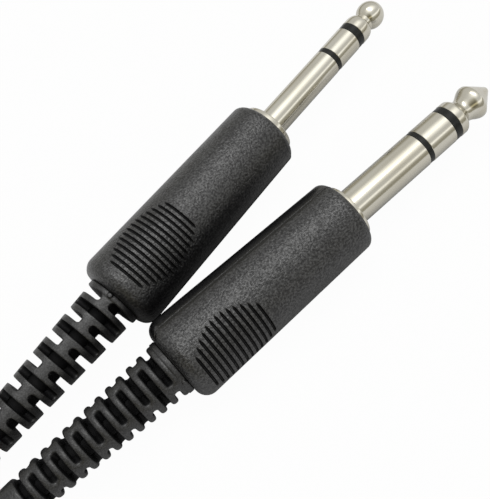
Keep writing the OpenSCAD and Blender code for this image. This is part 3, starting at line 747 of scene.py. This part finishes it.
class PointedContacts(Contacts):
    """Plug A's shaft, whose tip has a hollow neck, a bulge and a blunt cone."""

    neck_radius = 2.1
    bulge_radius = 3.1
    shoulder_length = 1.1
    neck_length = 1.7
    bulge_length = 2.6
    rim = ((0.3, 0.985), (0.55, 0.93))
    point_radius = 0.8
    cone_start = 42.0

    def tip_profile(self, back: float, apex: float) -> np.ndarray:
        """Joins the shoulder, an eased fall to the neck, an eased rise to the bulge, its rim and the cone.

        The rim's points are each a distance beyond the bulge and a share of its radius.
        """
        s = np.linspace(0, 1, 15)
        shoulder = self.spans["tip_insulator"][1] + self.shoulder_length
        neck = shoulder + self.neck_length
        bulge = neck + self.bulge_length
        fall = np.stack([shoulder + self.neck_length * s,
                         self.radius + (self.neck_radius - self.radius) * ease(s)], axis=1)
        rise = np.stack([neck + self.bulge_length * s,
                         self.neck_radius + (self.bulge_radius - self.neck_radius) * ease(s)], axis=1)
        rim = np.array([[bulge + on, self.bulge_radius * share] for on, share in self.rim])
        point = arc((apex - self.point_radius, 0), self.point_radius, 90 - self.cone_start, 0, 12)
        return np.concatenate([[[back, self.radius]], fall, rise[1:], rim, point])


class BallContacts(Contacts):
    """Plug B's shaft, whose tip is a ball on a short neck."""

    neck_radius = 1.85
    ball_radius = 2.6
    shoulder_length = 1.0
    neck_length = 1.7

    def tip_profile(self, back: float, apex: float) -> np.ndarray:
        """Joins the shoulder, a quarter of an ellipse down to the neck, and the ball."""
        shoulder = self.spans["tip_insulator"][1] + self.shoulder_length
        turn = np.radians(np.linspace(0, 90, 14))
        fall = np.stack([shoulder + self.neck_length * np.sin(turn),
                         self.neck_radius + (self.radius - self.neck_radius) * np.cos(turn)], axis=1)
        start = 180 - math.degrees(math.asin(self.neck_radius / self.ball_radius))
        ball = arc((apex - self.ball_radius, 0), self.ball_radius, start, 0, 40)
        return np.concatenate([[[back, self.radius]], fall, ball])


@dataclass
class Grip:
    """The grooves on both sides of a body, each a part of a ring centred on the side's centre line."""

    count: int
    start: float
    pitch: float = 1.0
    width: float = 0.46
    floor_width: float = 0.2
    depth: float = 0.4
    middle_angle: float = 49.5
    end_angle: float = 27.5
    fade: float = 8.0
    end_width: float = 0.4

    def depth_at(self, x: np.ndarray, turn: np.ndarray) -> np.ndarray:
        """Works out how deep the grooves are cut.

        The nearest groove's depth eases from its floor to nothing across its width, and eases out towards its
        two ends, where the groove also narrows to a share of its width. A third of that fade lies beyond the
        angle that the groove reaches, which grows by a parabola towards the middle groove.

        Args:
            x: Places along the axis.
            turn: Angles from the nearer side's centre line, in degrees.

        Returns:
            The depth in millimetres.
        """
        number = np.clip(np.round((self.start - x) / self.pitch), 0, self.count - 1)
        off = np.abs(x - (self.start - number * self.pitch))
        share = (number - (self.count - 1) / 2) / ((self.count - 1) / 2)
        half = self.end_angle + (self.middle_angle - self.end_angle) * (1 - share ** 2)
        reach = ease((half + self.fade / 3 - np.abs(turn)) / self.fade)
        half_width = self.width / 2 * (self.end_width + (1 - self.end_width) * reach)
        return self.depth * reach * ease((half_width - off) / ((self.width - self.floor_width) / 2))


@dataclass
class Body(PlugPart):
    """A plug's moulded body: a tapered barrel with round ends, grips above and below, and inner seats."""

    grip: Grip
    front_radius: float = 6.5
    back_radius: float = 7.3
    front_round: float = 1.2
    back_round: float = 2.2
    collar_seat: float = 4.57
    mould_seat: float = 5.22
    cord_bore: float = 1.87
    root_seat: float = 3.32
    root_length: float = 7.82
    heel_margin: float = 0.3
    nose_margin: float = 0.12
    step: float = 1.5
    seam_height: float = 0.09
    seam_width: float = 0.26
    seam_reach: float = 2.4
    seam_clear: float = 2.8
    land_start: float = -7.0
    land_rise: float = 6.0
    land_angle: float = 42.0
    land_fall: float = 4.0
    # How fast the painted shade in a groove grows with its depth.
    hollow_rate: float = 4.0

    def outline(self) -> tuple[np.ndarray, np.ndarray]:
        """Works out the closed outline in two stretches.

        Returns:
            Points of x and radius: the outside from front to back, close together where the grooves are cut,
            and the seats from back to front.
        """
        back, front = self.span("body")
        mould_back, mould_front = self.span("inner_mould")
        nose_back, heel_front = front - self.front_round, back + self.back_round
        nose = arc((nose_back, self.front_radius - self.front_round), self.front_round, 0, 90, 12)
        heel = arc((heel_front, self.back_radius - self.back_round), self.back_round, 90, 180, 12)
        groove_front = self.grip.start + self.grip.pitch
        groove_back = self.grip.start - (self.grip.count - 1) * self.grip.pitch - self.grip.width
        side = np.concatenate([
            np.linspace(nose_back, groove_front, 26)[1:],
            np.arange(groove_front, groove_back, -self.grip.pitch / 16)[1:],
            np.linspace(groove_back, heel_front, 5)[:-1]])
        share = (front - self.front_round - side) / (front - self.front_round - back - self.back_round)
        wall = np.stack([side, self.front_radius + (self.back_radius - self.front_radius) * share], axis=1)
        root_front = back + self.root_length
        seats = np.array([
            [back, self.root_seat + self.heel_margin], [back, self.root_seat], [root_front, self.root_seat],
            [root_front, self.cord_bore], [mould_back, self.cord_bore], [mould_back, self.mould_seat],
            [mould_front, self.mould_seat], [mould_front, self.collar_seat], [front, self.collar_seat],
            [front, self.collar_seat + self.nose_margin]])
        return np.concatenate([nose, wall, heel]), seats

    def build(self) -> list[bpy.types.Object]:
        """Builds the body as one closed grid and returns it.

        Points go round the axis in even steps with finer ones at the two parting lines. The grooves lower the
        outside, and a small ridge eases up and down again across each parting line. The mesh stores where its
        material is hollow, in the grooves, where the material paints shade, and where it is a smooth land: a
        band from just above each parting line to well below it, less the ridge itself.
        """
        skin, seats = self.outline()
        outline = np.concatenate([skin, seats])
        fine = np.concatenate([c + np.linspace(-self.seam_reach, self.seam_reach, 17) for c in (90, 270)])
        even = np.arange(0, 360, self.step)
        even = even[(np.abs(even - 90) > self.seam_clear) & (np.abs(even - 270) > self.seam_clear)]
        turn = np.sort(np.concatenate([even, fine]))
        x, radius = outline[:, :1], outline[:, 1:]
        outside = (np.arange(len(outline)) < len(skin))[:, None]
        from_side = np.minimum(turn, 360 - turn)
        from_grip = np.minimum(from_side, 180 - from_side)
        off_seam = (90 - from_grip) / np.degrees(self.seam_width / 2 / self.back_radius)
        ridge = ease(1 - off_seam) * outside
        grooves = self.grip.depth_at(x, from_grip[None, :]) * outside
        r = radius + self.seam_height * ridge - grooves
        a = np.radians(turn)
        points = np.stack(np.broadcast_arrays(x, r * -np.sin(a), r * np.cos(a)), axis=-1)
        piece = make_mesh(self.named("body_moulded"), self.place.to_model(points.reshape(-1, 3)),
                          [grid_faces(*points.shape[:2], True, True)])
        beyond = np.where(turn > 180, 270 - turn, turn - 90)
        land = ease((beyond - self.land_start) / self.land_rise)
        land = land * ease((self.land_angle - beyond) / self.land_fall)
        add_attribute(piece, "land", land[None, :] * outside * (1 - ridge))
        # Painted shade: the grooves' share of hollow, in which the material darkens the colour and dims the
        # reflection.
        add_attribute(piece, "hollow", np.minimum(1, self.hollow_rate * grooves / self.grip.depth))
        return [dress(piece, Finish.body.value, self.place, self.named("body"))]


def soft_max(a: np.ndarray, b: np.ndarray, softness: float) -> np.ndarray:
    """Returns the larger of two distances, raised where they differ by less than softness: a round edge."""
    near = np.maximum(softness - np.abs(a - b), 0) / softness
    return np.maximum(a, b) + near ** 2 * softness / 4


@dataclass
class StrainRelief(PlugPart):
    """A plug's slotted strain relief, worked out as a distance field and wrapped in a mesh."""

    gap_start: float
    gap_pitch: float
    gap_width: float = 1.3
    softness: float = 0.15
    gap_count: int = 13
    plate_radius: float = 4.85
    plate_thickness: float = 1.0
    front_radius: float = 4.75
    tail_radius: float = 3.2
    web: float = 1.8
    bore: float = 1.87
    root_radius: float = 3.3
    barb_radius: float = 4.3
    barb_setback: float = 1.5
    barb_length: float = 1.4
    nub_radius: float = 0.45
    nub_height: float = 0.3
    # Where the painted shade in the slots begins below the ribs' envelope, and how deep it goes before it is
    # full.
    hollow_start: float = 0.03
    hollow_depth: float = 0.45
    edge: float = 0.2
    voxel: float = 0.135

    def distance(self, x: np.ndarray, y: np.ndarray, z: np.ndarray, back: float, front: float,
                 plate_back: float) -> np.ndarray:
        """Works out a rough signed distance to the strain relief's surface, negative inside.

        It is the union of a tapered rod, a plate, the root with its barb and a nub, less the gaps and the
        bore. A gap is a pair of slots with round ends, open at both sides of a web. The first is open at
        both sides, the next above and below, and so on by turns. Joins are rounded by a soft maximum.

        Args:
            x: Places along the axis.
            y: Places across it.
            z: Places along the grip's direction.
            back: Where the tail ends.
            front: Where the root ends, inside the body.
            plate_back: The plate's face away from the body.

        Returns:
            The distance in millimetres.
        """
        r = np.sqrt(y ** 2 + z ** 2)
        body_back = plate_back + self.plate_thickness
        taper = self.taper(x, back, body_back)
        rod = soft_max(soft_max(r - taper, back - x, self.edge), x - plate_back, self.edge)
        plate = soft_max(soft_max(r - self.plate_radius, x - body_back, self.edge), plate_back - x, self.edge)
        root = np.maximum(np.maximum(r - self.root_radius, x - front), plate_back - x)
        barb_front = front - self.barb_setback
        barb = np.maximum(np.maximum(r - self.barb_radius, x - barb_front), barb_front - self.barb_length - x)
        nub = soft_max(np.maximum(np.hypot(x - (body_back + plate_back) / 2, y) - self.nub_radius, -z),
                       z - self.plate_radius - self.nub_height, self.edge)
        solid = np.minimum.reduce([rod, plate, root, barb, nub])
        number = (self.gap_start - x) / self.gap_pitch
        side = np.clip(2 * np.round(number / 2), 0, self.gap_count - 1)
        top = np.clip(2 * np.round((number - 1) / 2) + 1, 1, self.gap_count - 2)
        cut = soft_max(solid, -self.gap(x, np.abs(y), side), self.softness)
        cut = soft_max(cut, -self.gap(x, np.abs(z), top), self.softness)
        return np.maximum(cut, self.bore - r)

    def taper(self, x: np.ndarray, back: float, body_back: float) -> np.ndarray:
        """Returns the ribs' radius at places along the axis, which falls evenly from the body to the tail."""
        fall = (self.tail_radius - self.front_radius) * (body_back - x) / (body_back - back)
        return self.front_radius + fall

    def gap(self, x: np.ndarray, out: np.ndarray, number: np.ndarray) -> np.ndarray:
        """Works out the distance to a pair of slots with round inner ends.

        Args:
            x: Places along the axis.
            out: Distances from the web's middle plane.
            number: Which gap, counted from the plug.

        Returns:
            The distance in millimetres, negative in the slots.
        """
        half = self.gap_width / 2
        off = x - (self.gap_start - number * self.gap_pitch - half)
        past = out - self.web / 2 - half
        return np.where(past > 0, np.abs(off), np.hypot(off, past)) - half

    def build(self) -> list[bpy.types.Object]:
        """Builds the strain relief and returns it.

        The grid is shifted sideways by odd parts of a cell, to keep flat sides off its points.
        """
        back, front = self.span("strain_relief")
        plate_back = self.span("body")[0] - self.plate_thickness
        margin = 3 * self.voxel
        reach = self.plate_radius + self.nub_height + margin
        axes = [np.arange(back - margin, front + margin, self.voxel),
                np.arange(-reach, reach, self.voxel) + 0.31 * self.voxel,
                np.arange(-reach, reach, self.voxel) + 0.17 * self.voxel]
        x, y, z = np.meshgrid(*axes, indexing="ij", sparse=True)
        values = self.distance(*np.broadcast_arrays(x, y, z), back, front, plate_back)
        points, faces = surface_net(values, np.array([a[0] for a in axes]), self.voxel)
        piece = make_mesh(self.named("strain_relief_moulded"), self.place.to_model(points), [faces])
        # Painted shade: the share of hollow below the ribs' envelope, in which the material darkens the
        # colour and dims the reflection.
        taper = self.taper(points[:, 0], back, plate_back + self.plate_thickness)
        below = taper - np.hypot(points[:, 1], points[:, 2]) - self.hollow_start
        add_attribute(piece, "hollow", ease(below / self.hollow_depth))
        return [dress(piece, Finish.strain_relief.value, self.place, self.named("strain_relief"))]


class Terminals(PlugPart):
    """What a plug holds inside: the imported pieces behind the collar, which keep their shape."""

    SLOTS = {
        "ground_clamp": Finish.terminal, "outer_washer": Finish.washer, "ring_lug": Finish.terminal,
        "inner_washer": Finish.washer, "tip_lug": Finish.terminal, "solder_joints": Finish.solder,
        "tip_wire": Finish.red_insulation, "ring_wire": Finish.white_insulation, "shield": Finish.copper,
        "jacket_end": Finish.jacket_end, "inner_mould": Finish.inner_mould,
    }

    def build(self) -> list[bpy.types.Object]:
        """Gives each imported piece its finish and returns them."""
        pieces = []
        for part, finish in self.SLOTS.items():
            node = frame["nodes"][self.named(part)]
            node.data.materials.clear()
            node.data.materials.append(finish.value.material(self.place))
            pieces.append(node)
        return pieces


def dress(piece: bpy.types.Object, finish: Metal | Plastic | HollowPlastic | Woven, place: Placement,
          *nodes: str) -> bpy.types.Object:
    """Gives a new piece its finish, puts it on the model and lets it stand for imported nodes.

    Args:
        piece: The new piece.
        finish: Its finish, whose name is the record's material slot.
        place: Where the pattern is centred.
        *nodes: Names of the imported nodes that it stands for.

    Returns:
        The piece.
    """
    piece.data.materials.append(finish.material(place))
    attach(piece, "root")
    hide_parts(*nodes)
    return piece


# ---- Cord ----

@dataclass
class Cord:
    """The free cord: a lead behind each plug and the coil between them, as one tube on one smooth route."""

    place_a: Placement
    place_b: Placement
    diameter: float = 3.7
    body_back_radius: float = 7.3
    centre: tuple[float, float] = (-124.0, 5.0)
    mean_diameter: float = 38.5
    layers: int = 6
    turns: float = 15.5
    pitch: float = 4.15
    lead_reach: float = 22.0
    lead_sag: float = 1.5
    tie_thickness: float = 0.5
    tie_half: float = 30.0
    tie_width: float = 8.0
    tie_fit: float = 0.02
    tie_setback: float = 0.6
    tie_edge: float = 0.15
    tie_edge_half: float = 0.12
    tie_step: float = 0.35
    sides: int = 20
    step: float = 1.3

    def layer_turns(self) -> float:
        """Returns the turns in one layer."""
        return self.turns / self.layers

    def outer_radius(self) -> float:
        """Returns the radius of the outermost turn's middle line."""
        return self.mean_diameter / 2 + self.pitch * self.layer_turns() / 2

    def rest(self) -> float:
        """Returns the height of the cord's middle where it lies on the floor."""
        return self.diameter / 2 - self.body_back_radius

    def coil_points(self, turns: np.ndarray) -> np.ndarray:
        """Works out the coil's middle line.

        The radius falls and rises again by one pitch a turn, and reverses after each layer. The height
        climbs one pitch in the half turn round each reversal, and eases up by the tie's thickness over it.

        Args:
            turns: Turns from the coil's start.

        Returns:
            The points in millimetres in the model's frame.
        """
        in_layer = self.layer_turns()
        wave = np.abs((turns / in_layer) % 2 - 1)
        radius = self.outer_radius() - self.pitch * in_layer * (1 - wave)
        layer = np.clip(np.floor(turns / in_layer - 0.5), 0, self.layers - 2)
        climb = np.clip((turns - (layer + 1) * in_layer) / 0.5 + 0.5, 0, 1)
        a = np.radians(-90 - 360 * turns)
        from_tie = np.degrees(np.arccos(np.clip(-np.cos(a), -1, 1)))
        hump = self.tie_thickness * ease(2 - from_tie / self.tie_half)
        z = self.rest() + self.pitch * (layer + climb) + hump
        return np.stack([self.centre[0] + radius * np.cos(a), self.centre[1] + radius * np.sin(a), z], axis=1)

    def lead(self, letter: str, place: Placement, joint: np.ndarray) -> np.ndarray:
        """Works out a lead from its plug to the coil.

        It leaves the strain relief straight for one diameter, and a cubic curve turns it to the coil. Lead A
        eases down to the floor over the first half of the curve. Lead B eases up to the top layer, less a
        sag that goes with the square of the sine of half a turn times the share of the way.

        Args:
            letter: The plug's letter.
            place: Where the plug lies.
            joint: Where the coil takes the lead up.

        Returns:
            The points in millimetres in the model's frame.
        """
        axis = place.turn()[:, 0]
        level = np.array([1.0, 0, 0])
        start = np.array(place.shoulder) + place.extent(f"plug_{letter}_strain_relief")[0] * axis
        begin, end = start - self.diameter * axis, joint + self.diameter * level
        t = np.linspace(0, 1, 49)[:, None]
        curve = ((1 - t) ** 3 * begin + 3 * (1 - t) ** 2 * t * (begin - self.lead_reach * axis)
                 + 3 * (1 - t) * t ** 2 * (end + self.lead_reach * level) + t ** 3 * end)
        t = t[:, 0]
        if letter == "a":
            curve[:, 2] = joint[2] * ease(2 * t)
        else:
            curve[:, 2] = joint[2] * ease(t) - self.lead_sag * np.sin(np.pi * t) ** 2
        return np.concatenate([[start], curve])

    def route(self) -> np.ndarray:
        """Joins both leads and the coil, and returns points a step apart along them."""
        coil = self.coil_points(np.arange(0, self.turns + 1e-9, 1 / 48))
        straight = np.array([self.diameter, 0, 0])
        lead_a = self.lead("a", self.place_a, coil[0] + straight)
        lead_b = self.lead("b", self.place_b, coil[-1] + straight)
        return evenly(np.concatenate([lead_a, coil, lead_b[::-1]]), self.step)

    def build_strap(self) -> bpy.types.Object:
        """Builds the hook-and-loop strap round all the turns on the coil's far side.

        Its middle line starts on top, runs inwards, down, out under the turns, up outside them and over its
        own start, and moves out by its thickness round the last corner. Each corner is a quarter circle round
        a turn. The inner side lies nearer the coil's middle than the innermost turn does, by as much as a
        flat strap of this width has to.

        Returns:
            The new object.
        """
        t, fit, half_width = self.tie_thickness, self.tie_fit, self.tie_width / 2
        corner = self.diameter / 2 + fit
        inside = self.outer_radius() - self.pitch * self.layer_turns() - self.diameter / 2
        low = np.array([math.sqrt(inside ** 2 - half_width ** 2) - fit, self.rest() - self.diameter / 2 + t])
        high = np.array([self.outer_radius() + corner,
                         self.rest() + (self.layers - 1) * self.pitch + self.diameter / 2 + t + fit])
        r = corner + t / 2
        last = np.radians(np.linspace(0, 90, 11))
        grown = r + t * np.linspace(0, 1, 11)
        over = (high - corner) + grown[:, None] * np.stack([np.cos(last), np.sin(last)], axis=1)
        middle, top = (low[0] + high[0]) / 2, high[1] + t / 2
        loop = np.concatenate([
            np.linspace([high[0] - corner - self.tie_setback, top], [low[0] + corner, top], 20)[:-1],
            arc((low[0] + corner, high[1] - corner), r, 90, 180),
            arc((low[0] + corner, low[1] + corner), r, 180, 270),
            arc((high[0] - corner, low[1] + corner), r, 270, 360),
            over, np.linspace([high[0] - corner, top + t], [middle, top + t], 12)[1:]])
        loop = evenly(np.pad(loop, ((0, 0), (0, 1))), self.tie_step)[:, :2]
        along = directions(loop)
        line = np.stack([self.centre[0] - loop[:, 0], np.full(len(loop), self.centre[1]), loop[:, 1]], axis=1)
        out = np.stack([-along[:, 1], np.zeros(len(loop)), -along[:, 0]], axis=1)
        side = np.broadcast_to([0.0, 1.0, 0.0], line.shape)
        across = np.linspace(-half_width + self.tie_edge, half_width - self.tie_edge, 40)
        face = np.stack([across, np.full(len(across), t / 2 - fit)], axis=1)
        edge = np.array([[half_width, self.tie_edge_half], [half_width, -self.tie_edge_half]])
        section = np.concatenate([face, edge, -face, -edge])
        piece = sweep("strap", line, side, out, section, ORIGIN)
        length = lengths_along(loop)
        add_attribute(piece, "along", np.append(np.repeat(length, len(section)), [0, length[-1]]))
        add_attribute(piece, "across", np.append(np.tile(section[:, 0], len(loop)), [0, 0]))
        return dress(piece, Finish.strap.value, ORIGIN, "coil_tie")

    def build(self) -> list[bpy.types.Object]:
        line = self.route()
        along = directions(line)
        side = np.cross(along, [0, 0, 1.0])
        side /= np.linalg.norm(side, axis=1, keepdims=True)
        a = np.linspace(0, 2 * np.pi, self.sides, endpoint=False)
        circle = self.diameter / 2 * np.stack([np.cos(a), np.sin(a)], axis=1)
        piece = sweep("cord", line, side, np.cross(side, along), circle, ORIGIN)
        dress(piece, Finish.jacket.value, ORIGIN, "cord_lead_a", "cord_coil", "cord_lead_b")
        log.info("cord: %.3f m on its route", lengths_along(line)[-1] * MM)
        strap = self.build_strap()
        return [piece, strap]


# ---- Studio ----

@dataclass
class Studio:
    """The camera, the pale floor, the world and one soft lamp.

    overhead, strip, dark_front, dark_back and behind are each the middle and half width of a band of the
    world, in degrees about the x axis. overhead_along is the same in the direction's x. dark_behind is the x
    at which the dark behind begins and the x at which it is full.
    """

    camera_place: tuple[float, float, float] = (-39.22, -55.29, 110.155)
    right: tuple[float, float, float] = (0.74313, -0.63556, -0.20931)
    down: tuple[float, float, float] = (-0.64598, -0.59984, -0.47211)
    lens: float = 57.995
    sensor: float = 36.0
    clip: tuple[float, float] = (0.005, 20)
    floor_height: float = -7.3
    floor_reach: float = 3000.0
    room: float = 0.85
    room_matt: float = 0.4
    overhead: tuple[float, float] = (1.0, 35.0)
    overhead_along: tuple[float, float] = (0.17, 0.85)
    overhead_level: float = 1.6
    strip: tuple[float, float] = (-56.0, 11.0)
    strip_level: float = 0.9
    dark_front: tuple[float, float] = (-82.0, 27.0)
    front_share: float = 0.55
    dark_back: tuple[float, float] = (92.0, 32.0)
    back_share: float = 0.6
    dark_behind: tuple[float, float] = (-0.15, -0.5)
    behind: tuple[float, float] = (-58.0, 64.0)
    dark_depth: float = 0.85
    room_tint: tuple[float, float, float] = (1, 1, 0.985)
    dark_tint: tuple[float, float, float] = (0.9, 0.82, 0.55)
    shade_reach: float = 0.05
    shade_power: float = 2.2
    floor_seen: float = 0.97
    floor_mirrored: float = 0.88
    floor_colour: tuple[float, float, float] = (0.75, 0.75, 0.75)
    lamp_place: tuple[float, float, float] = (0.10, 0.08, 0.75)
    lamp_size: tuple[float, float] = (0.5, 0.16)
    lamp_power: float = 1.2
    lamp_aim: tuple[float, float, float] = (-0.03, 0.01, 0)

    def make_camera(self) -> None:
        """Makes the scene's camera from its place and the directions of its right and down."""
        data = bpy.data.cameras.new("camera")
        data.sensor_fit = "HORIZONTAL"
        data.sensor_width = self.sensor
        data.lens = self.lens
        data.clip_start, data.clip_end = self.clip
        camera = bpy.data.objects.new("camera", data)
        right, up = np.array(self.right), -np.array(self.down)
        back = np.cross(right, up)
        turn = np.stack([right, up, back], axis=1)
        matrix = Matrix(turn.tolist()).to_4x4()
        matrix.translation = [c * MM for c in self.camera_place]
        camera.matrix_world = matrix
        bpy.context.scene.collection.objects.link(camera)
        bpy.context.scene.camera = camera

    def make_floor(self) -> None:
        """Makes the floor, which looks white by itself and darkens a little in the cable's shadow."""
        reach, z = self.floor_reach * MM, self.floor_height * MM
        corners = np.array([[-reach, -reach, z], [reach, -reach, z], [reach, reach, z], [-reach, reach, z]])
        mesh = bpy.data.meshes.new("floor")
        mesh.from_pydata(corners.tolist(), [], [[0, 1, 2, 3]])
        floor = bpy.data.objects.new("floor", mesh)
        bpy.context.scene.collection.objects.link(floor)
        tree = MaterialTree("floor")
        path = tree.add("ShaderNodeLightPath").outputs
        mirrored = tree.math("MAXIMUM", path["Is Glossy Ray"], path["Is Transmission Ray"])
        # Painted shadow: ambient occlusion darkens the white glow that reflections see near the cable; only
        # the small matt share takes the real shadow.
        open_sky = tree.add("ShaderNodeAmbientOcclusion", {"Distance": self.shade_reach},
                            samples=8, inside=False)
        shade = tree.math("POWER", open_sky.outputs["AO"], self.shade_power)
        strength = tree.math("MAXIMUM", path["Is Camera Ray"], shade)
        share = tree.math("ADD", tree.math("MULTIPLY", path["Is Camera Ray"], self.floor_seen),
                          tree.math("MULTIPLY", mirrored, self.floor_mirrored))
        white = tree.add("ShaderNodeEmission", {"Color": (1, 1, 1, 1), "Strength": strength})
        matte = tree.add("ShaderNodeBsdfDiffuse", {"Color": (*self.floor_colour, 1)})
        both = tree.add("ShaderNodeMixShader", {0: share, 1: matte.outputs[0], 2: white.outputs[0]})
        mesh.materials.append(tree.show(both))

    def make_world(self) -> None:
        """Makes the world, white to the camera, and for the rest a pale room with long soft boxes along x.

        Its brightness goes by the angle about the x axis, 0 overhead and negative towards negative y. The
        soft box overhead fades out along x as well. The room itself lights matt surfaces less than it shows
        in glossy ones.
        """
        world = bpy.data.worlds.new("studio")
        bpy.context.scene.world = world
        world.use_nodes = True
        tree = Tree(world.node_tree)
        where = tree.add("ShaderNodeTexCoord").outputs["Generated"]
        parts = tree.add("ShaderNodeSeparateXYZ", {0: where}).outputs
        angle = tree.math("DEGREES", tree.math("ARCTAN2", parts["Y"], parts["Z"]))
        overhead = tree.math("MULTIPLY", tree.bell(angle, *self.overhead),
                             tree.bell(parts["X"], *self.overhead_along))
        strip = tree.bell(angle, *self.strip)
        behind = tree.math("MULTIPLY", tree.ramp(parts["X"], *self.dark_behind, course="SMOOTHSTEP"),
                           tree.bell(angle, *self.behind))
        front = tree.math("MULTIPLY", tree.bell(angle, *self.dark_front), self.front_share)
        back = tree.math("MULTIPLY", tree.bell(angle, *self.dark_back), self.back_share)
        dark = tree.math("MAXIMUM", behind, tree.math("MAXIMUM", front, back))
        path = tree.add("ShaderNodeLightPath").outputs
        shown = tree.math("MULTIPLY", path["Is Glossy Ray"], self.room - self.room_matt)
        room = tree.math("MULTIPLY", tree.math("SUBTRACT", 1.0, tree.math("MULTIPLY", dark, self.dark_depth)),
                         tree.math("ADD", self.room_matt, shown))
        boxes = tree.math("ADD", tree.math("MULTIPLY", overhead, self.overhead_level),
                          tree.math("MULTIPLY", strip, self.strip_level))
        tint = tree.mix(dark, self.room_tint, self.dark_tint)
        pale = tree.add("ShaderNodeBackground", {"Color": tint, "Strength": tree.math("ADD", room, boxes)})
        white = tree.add("ShaderNodeBackground", {"Color": (1, 1, 1, 1)})
        both = tree.add("ShaderNodeMixShader", {
            0: path["Is Camera Ray"], 1: pale.outputs[0], 2: white.outputs[0]})
        tree.add("ShaderNodeOutputWorld", {0: both.outputs[0]})

    def make_lamp(self) -> None:
        """Makes a soft lamp overhead that faces the cable."""
        data = bpy.data.lights.new("overhead", "AREA")
        data.shape = "RECTANGLE"
        data.size, data.size_y = self.lamp_size
        data.energy = self.lamp_power
        lamp = bpy.data.objects.new("overhead", data)
        aim = Vector(self.lamp_aim) - Vector(self.lamp_place)
        turn = aim.to_track_quat("-Z", "Y").to_matrix().to_4x4()
        turn.translation = self.lamp_place
        lamp.matrix_world = turn
        lamp.visible_camera = False
        bpy.context.scene.collection.objects.link(lamp)

    def light(self) -> None:
        """Makes the floor, the world and the lamp, and sets how the picture is shown."""
        bpy.context.scene.view_settings.view_transform = "Standard"
        self.make_floor()
        self.make_world()
        self.make_lamp()


def main() -> None:
    """Builds the cable piece by piece and reports each one."""
    logging.basicConfig(level=logging.INFO, format="%(name)s: %(message)s")
    mounts = {m["name"]: m for m in frame["record"]["mounts"]}
    pin_a, pin_b = mounts["plug_a_shaft"], mounts["plug_b_shaft"]
    yaw_b = math.degrees(math.atan2(pin_b["axis"][1], pin_b["axis"][0]))
    place_a = Placement((0, 0, 0), yaw=0, roll=64.5)
    place_b = Placement(tuple(c / MM for c in pin_b["pos_m"]), yaw=yaw_b, roll=21.5)
    studio = Studio()
    studio.make_camera()
    assemblies = [
        Cord(place_a, place_b),
        PointedContacts("a", place_a, radius=pin_a["dims"]["r_mm"]),
        Body("a", place_a, Grip(count=13, start=-22.65)),
        StrainRelief("a", place_a, gap_start=-39.525, gap_pitch=2.14, gap_width=0.95, softness=0.55),
        Terminals("a", place_a),
        BallContacts("b", place_b, radius=pin_b["dims"]["r_mm"]),
        Body("b", place_b, Grip(count=14, start=-24.35)),
        StrainRelief("b", place_b, gap_start=-41.9, gap_pitch=2.3),
        Terminals("b", place_b),
    ]
    for assembly in assemblies:
        for piece in assembly.build():
            log.info("%s: %d faces", piece.name, len(piece.data.polygons))
    studio.light()


if __name__ == "__main__":
    main()
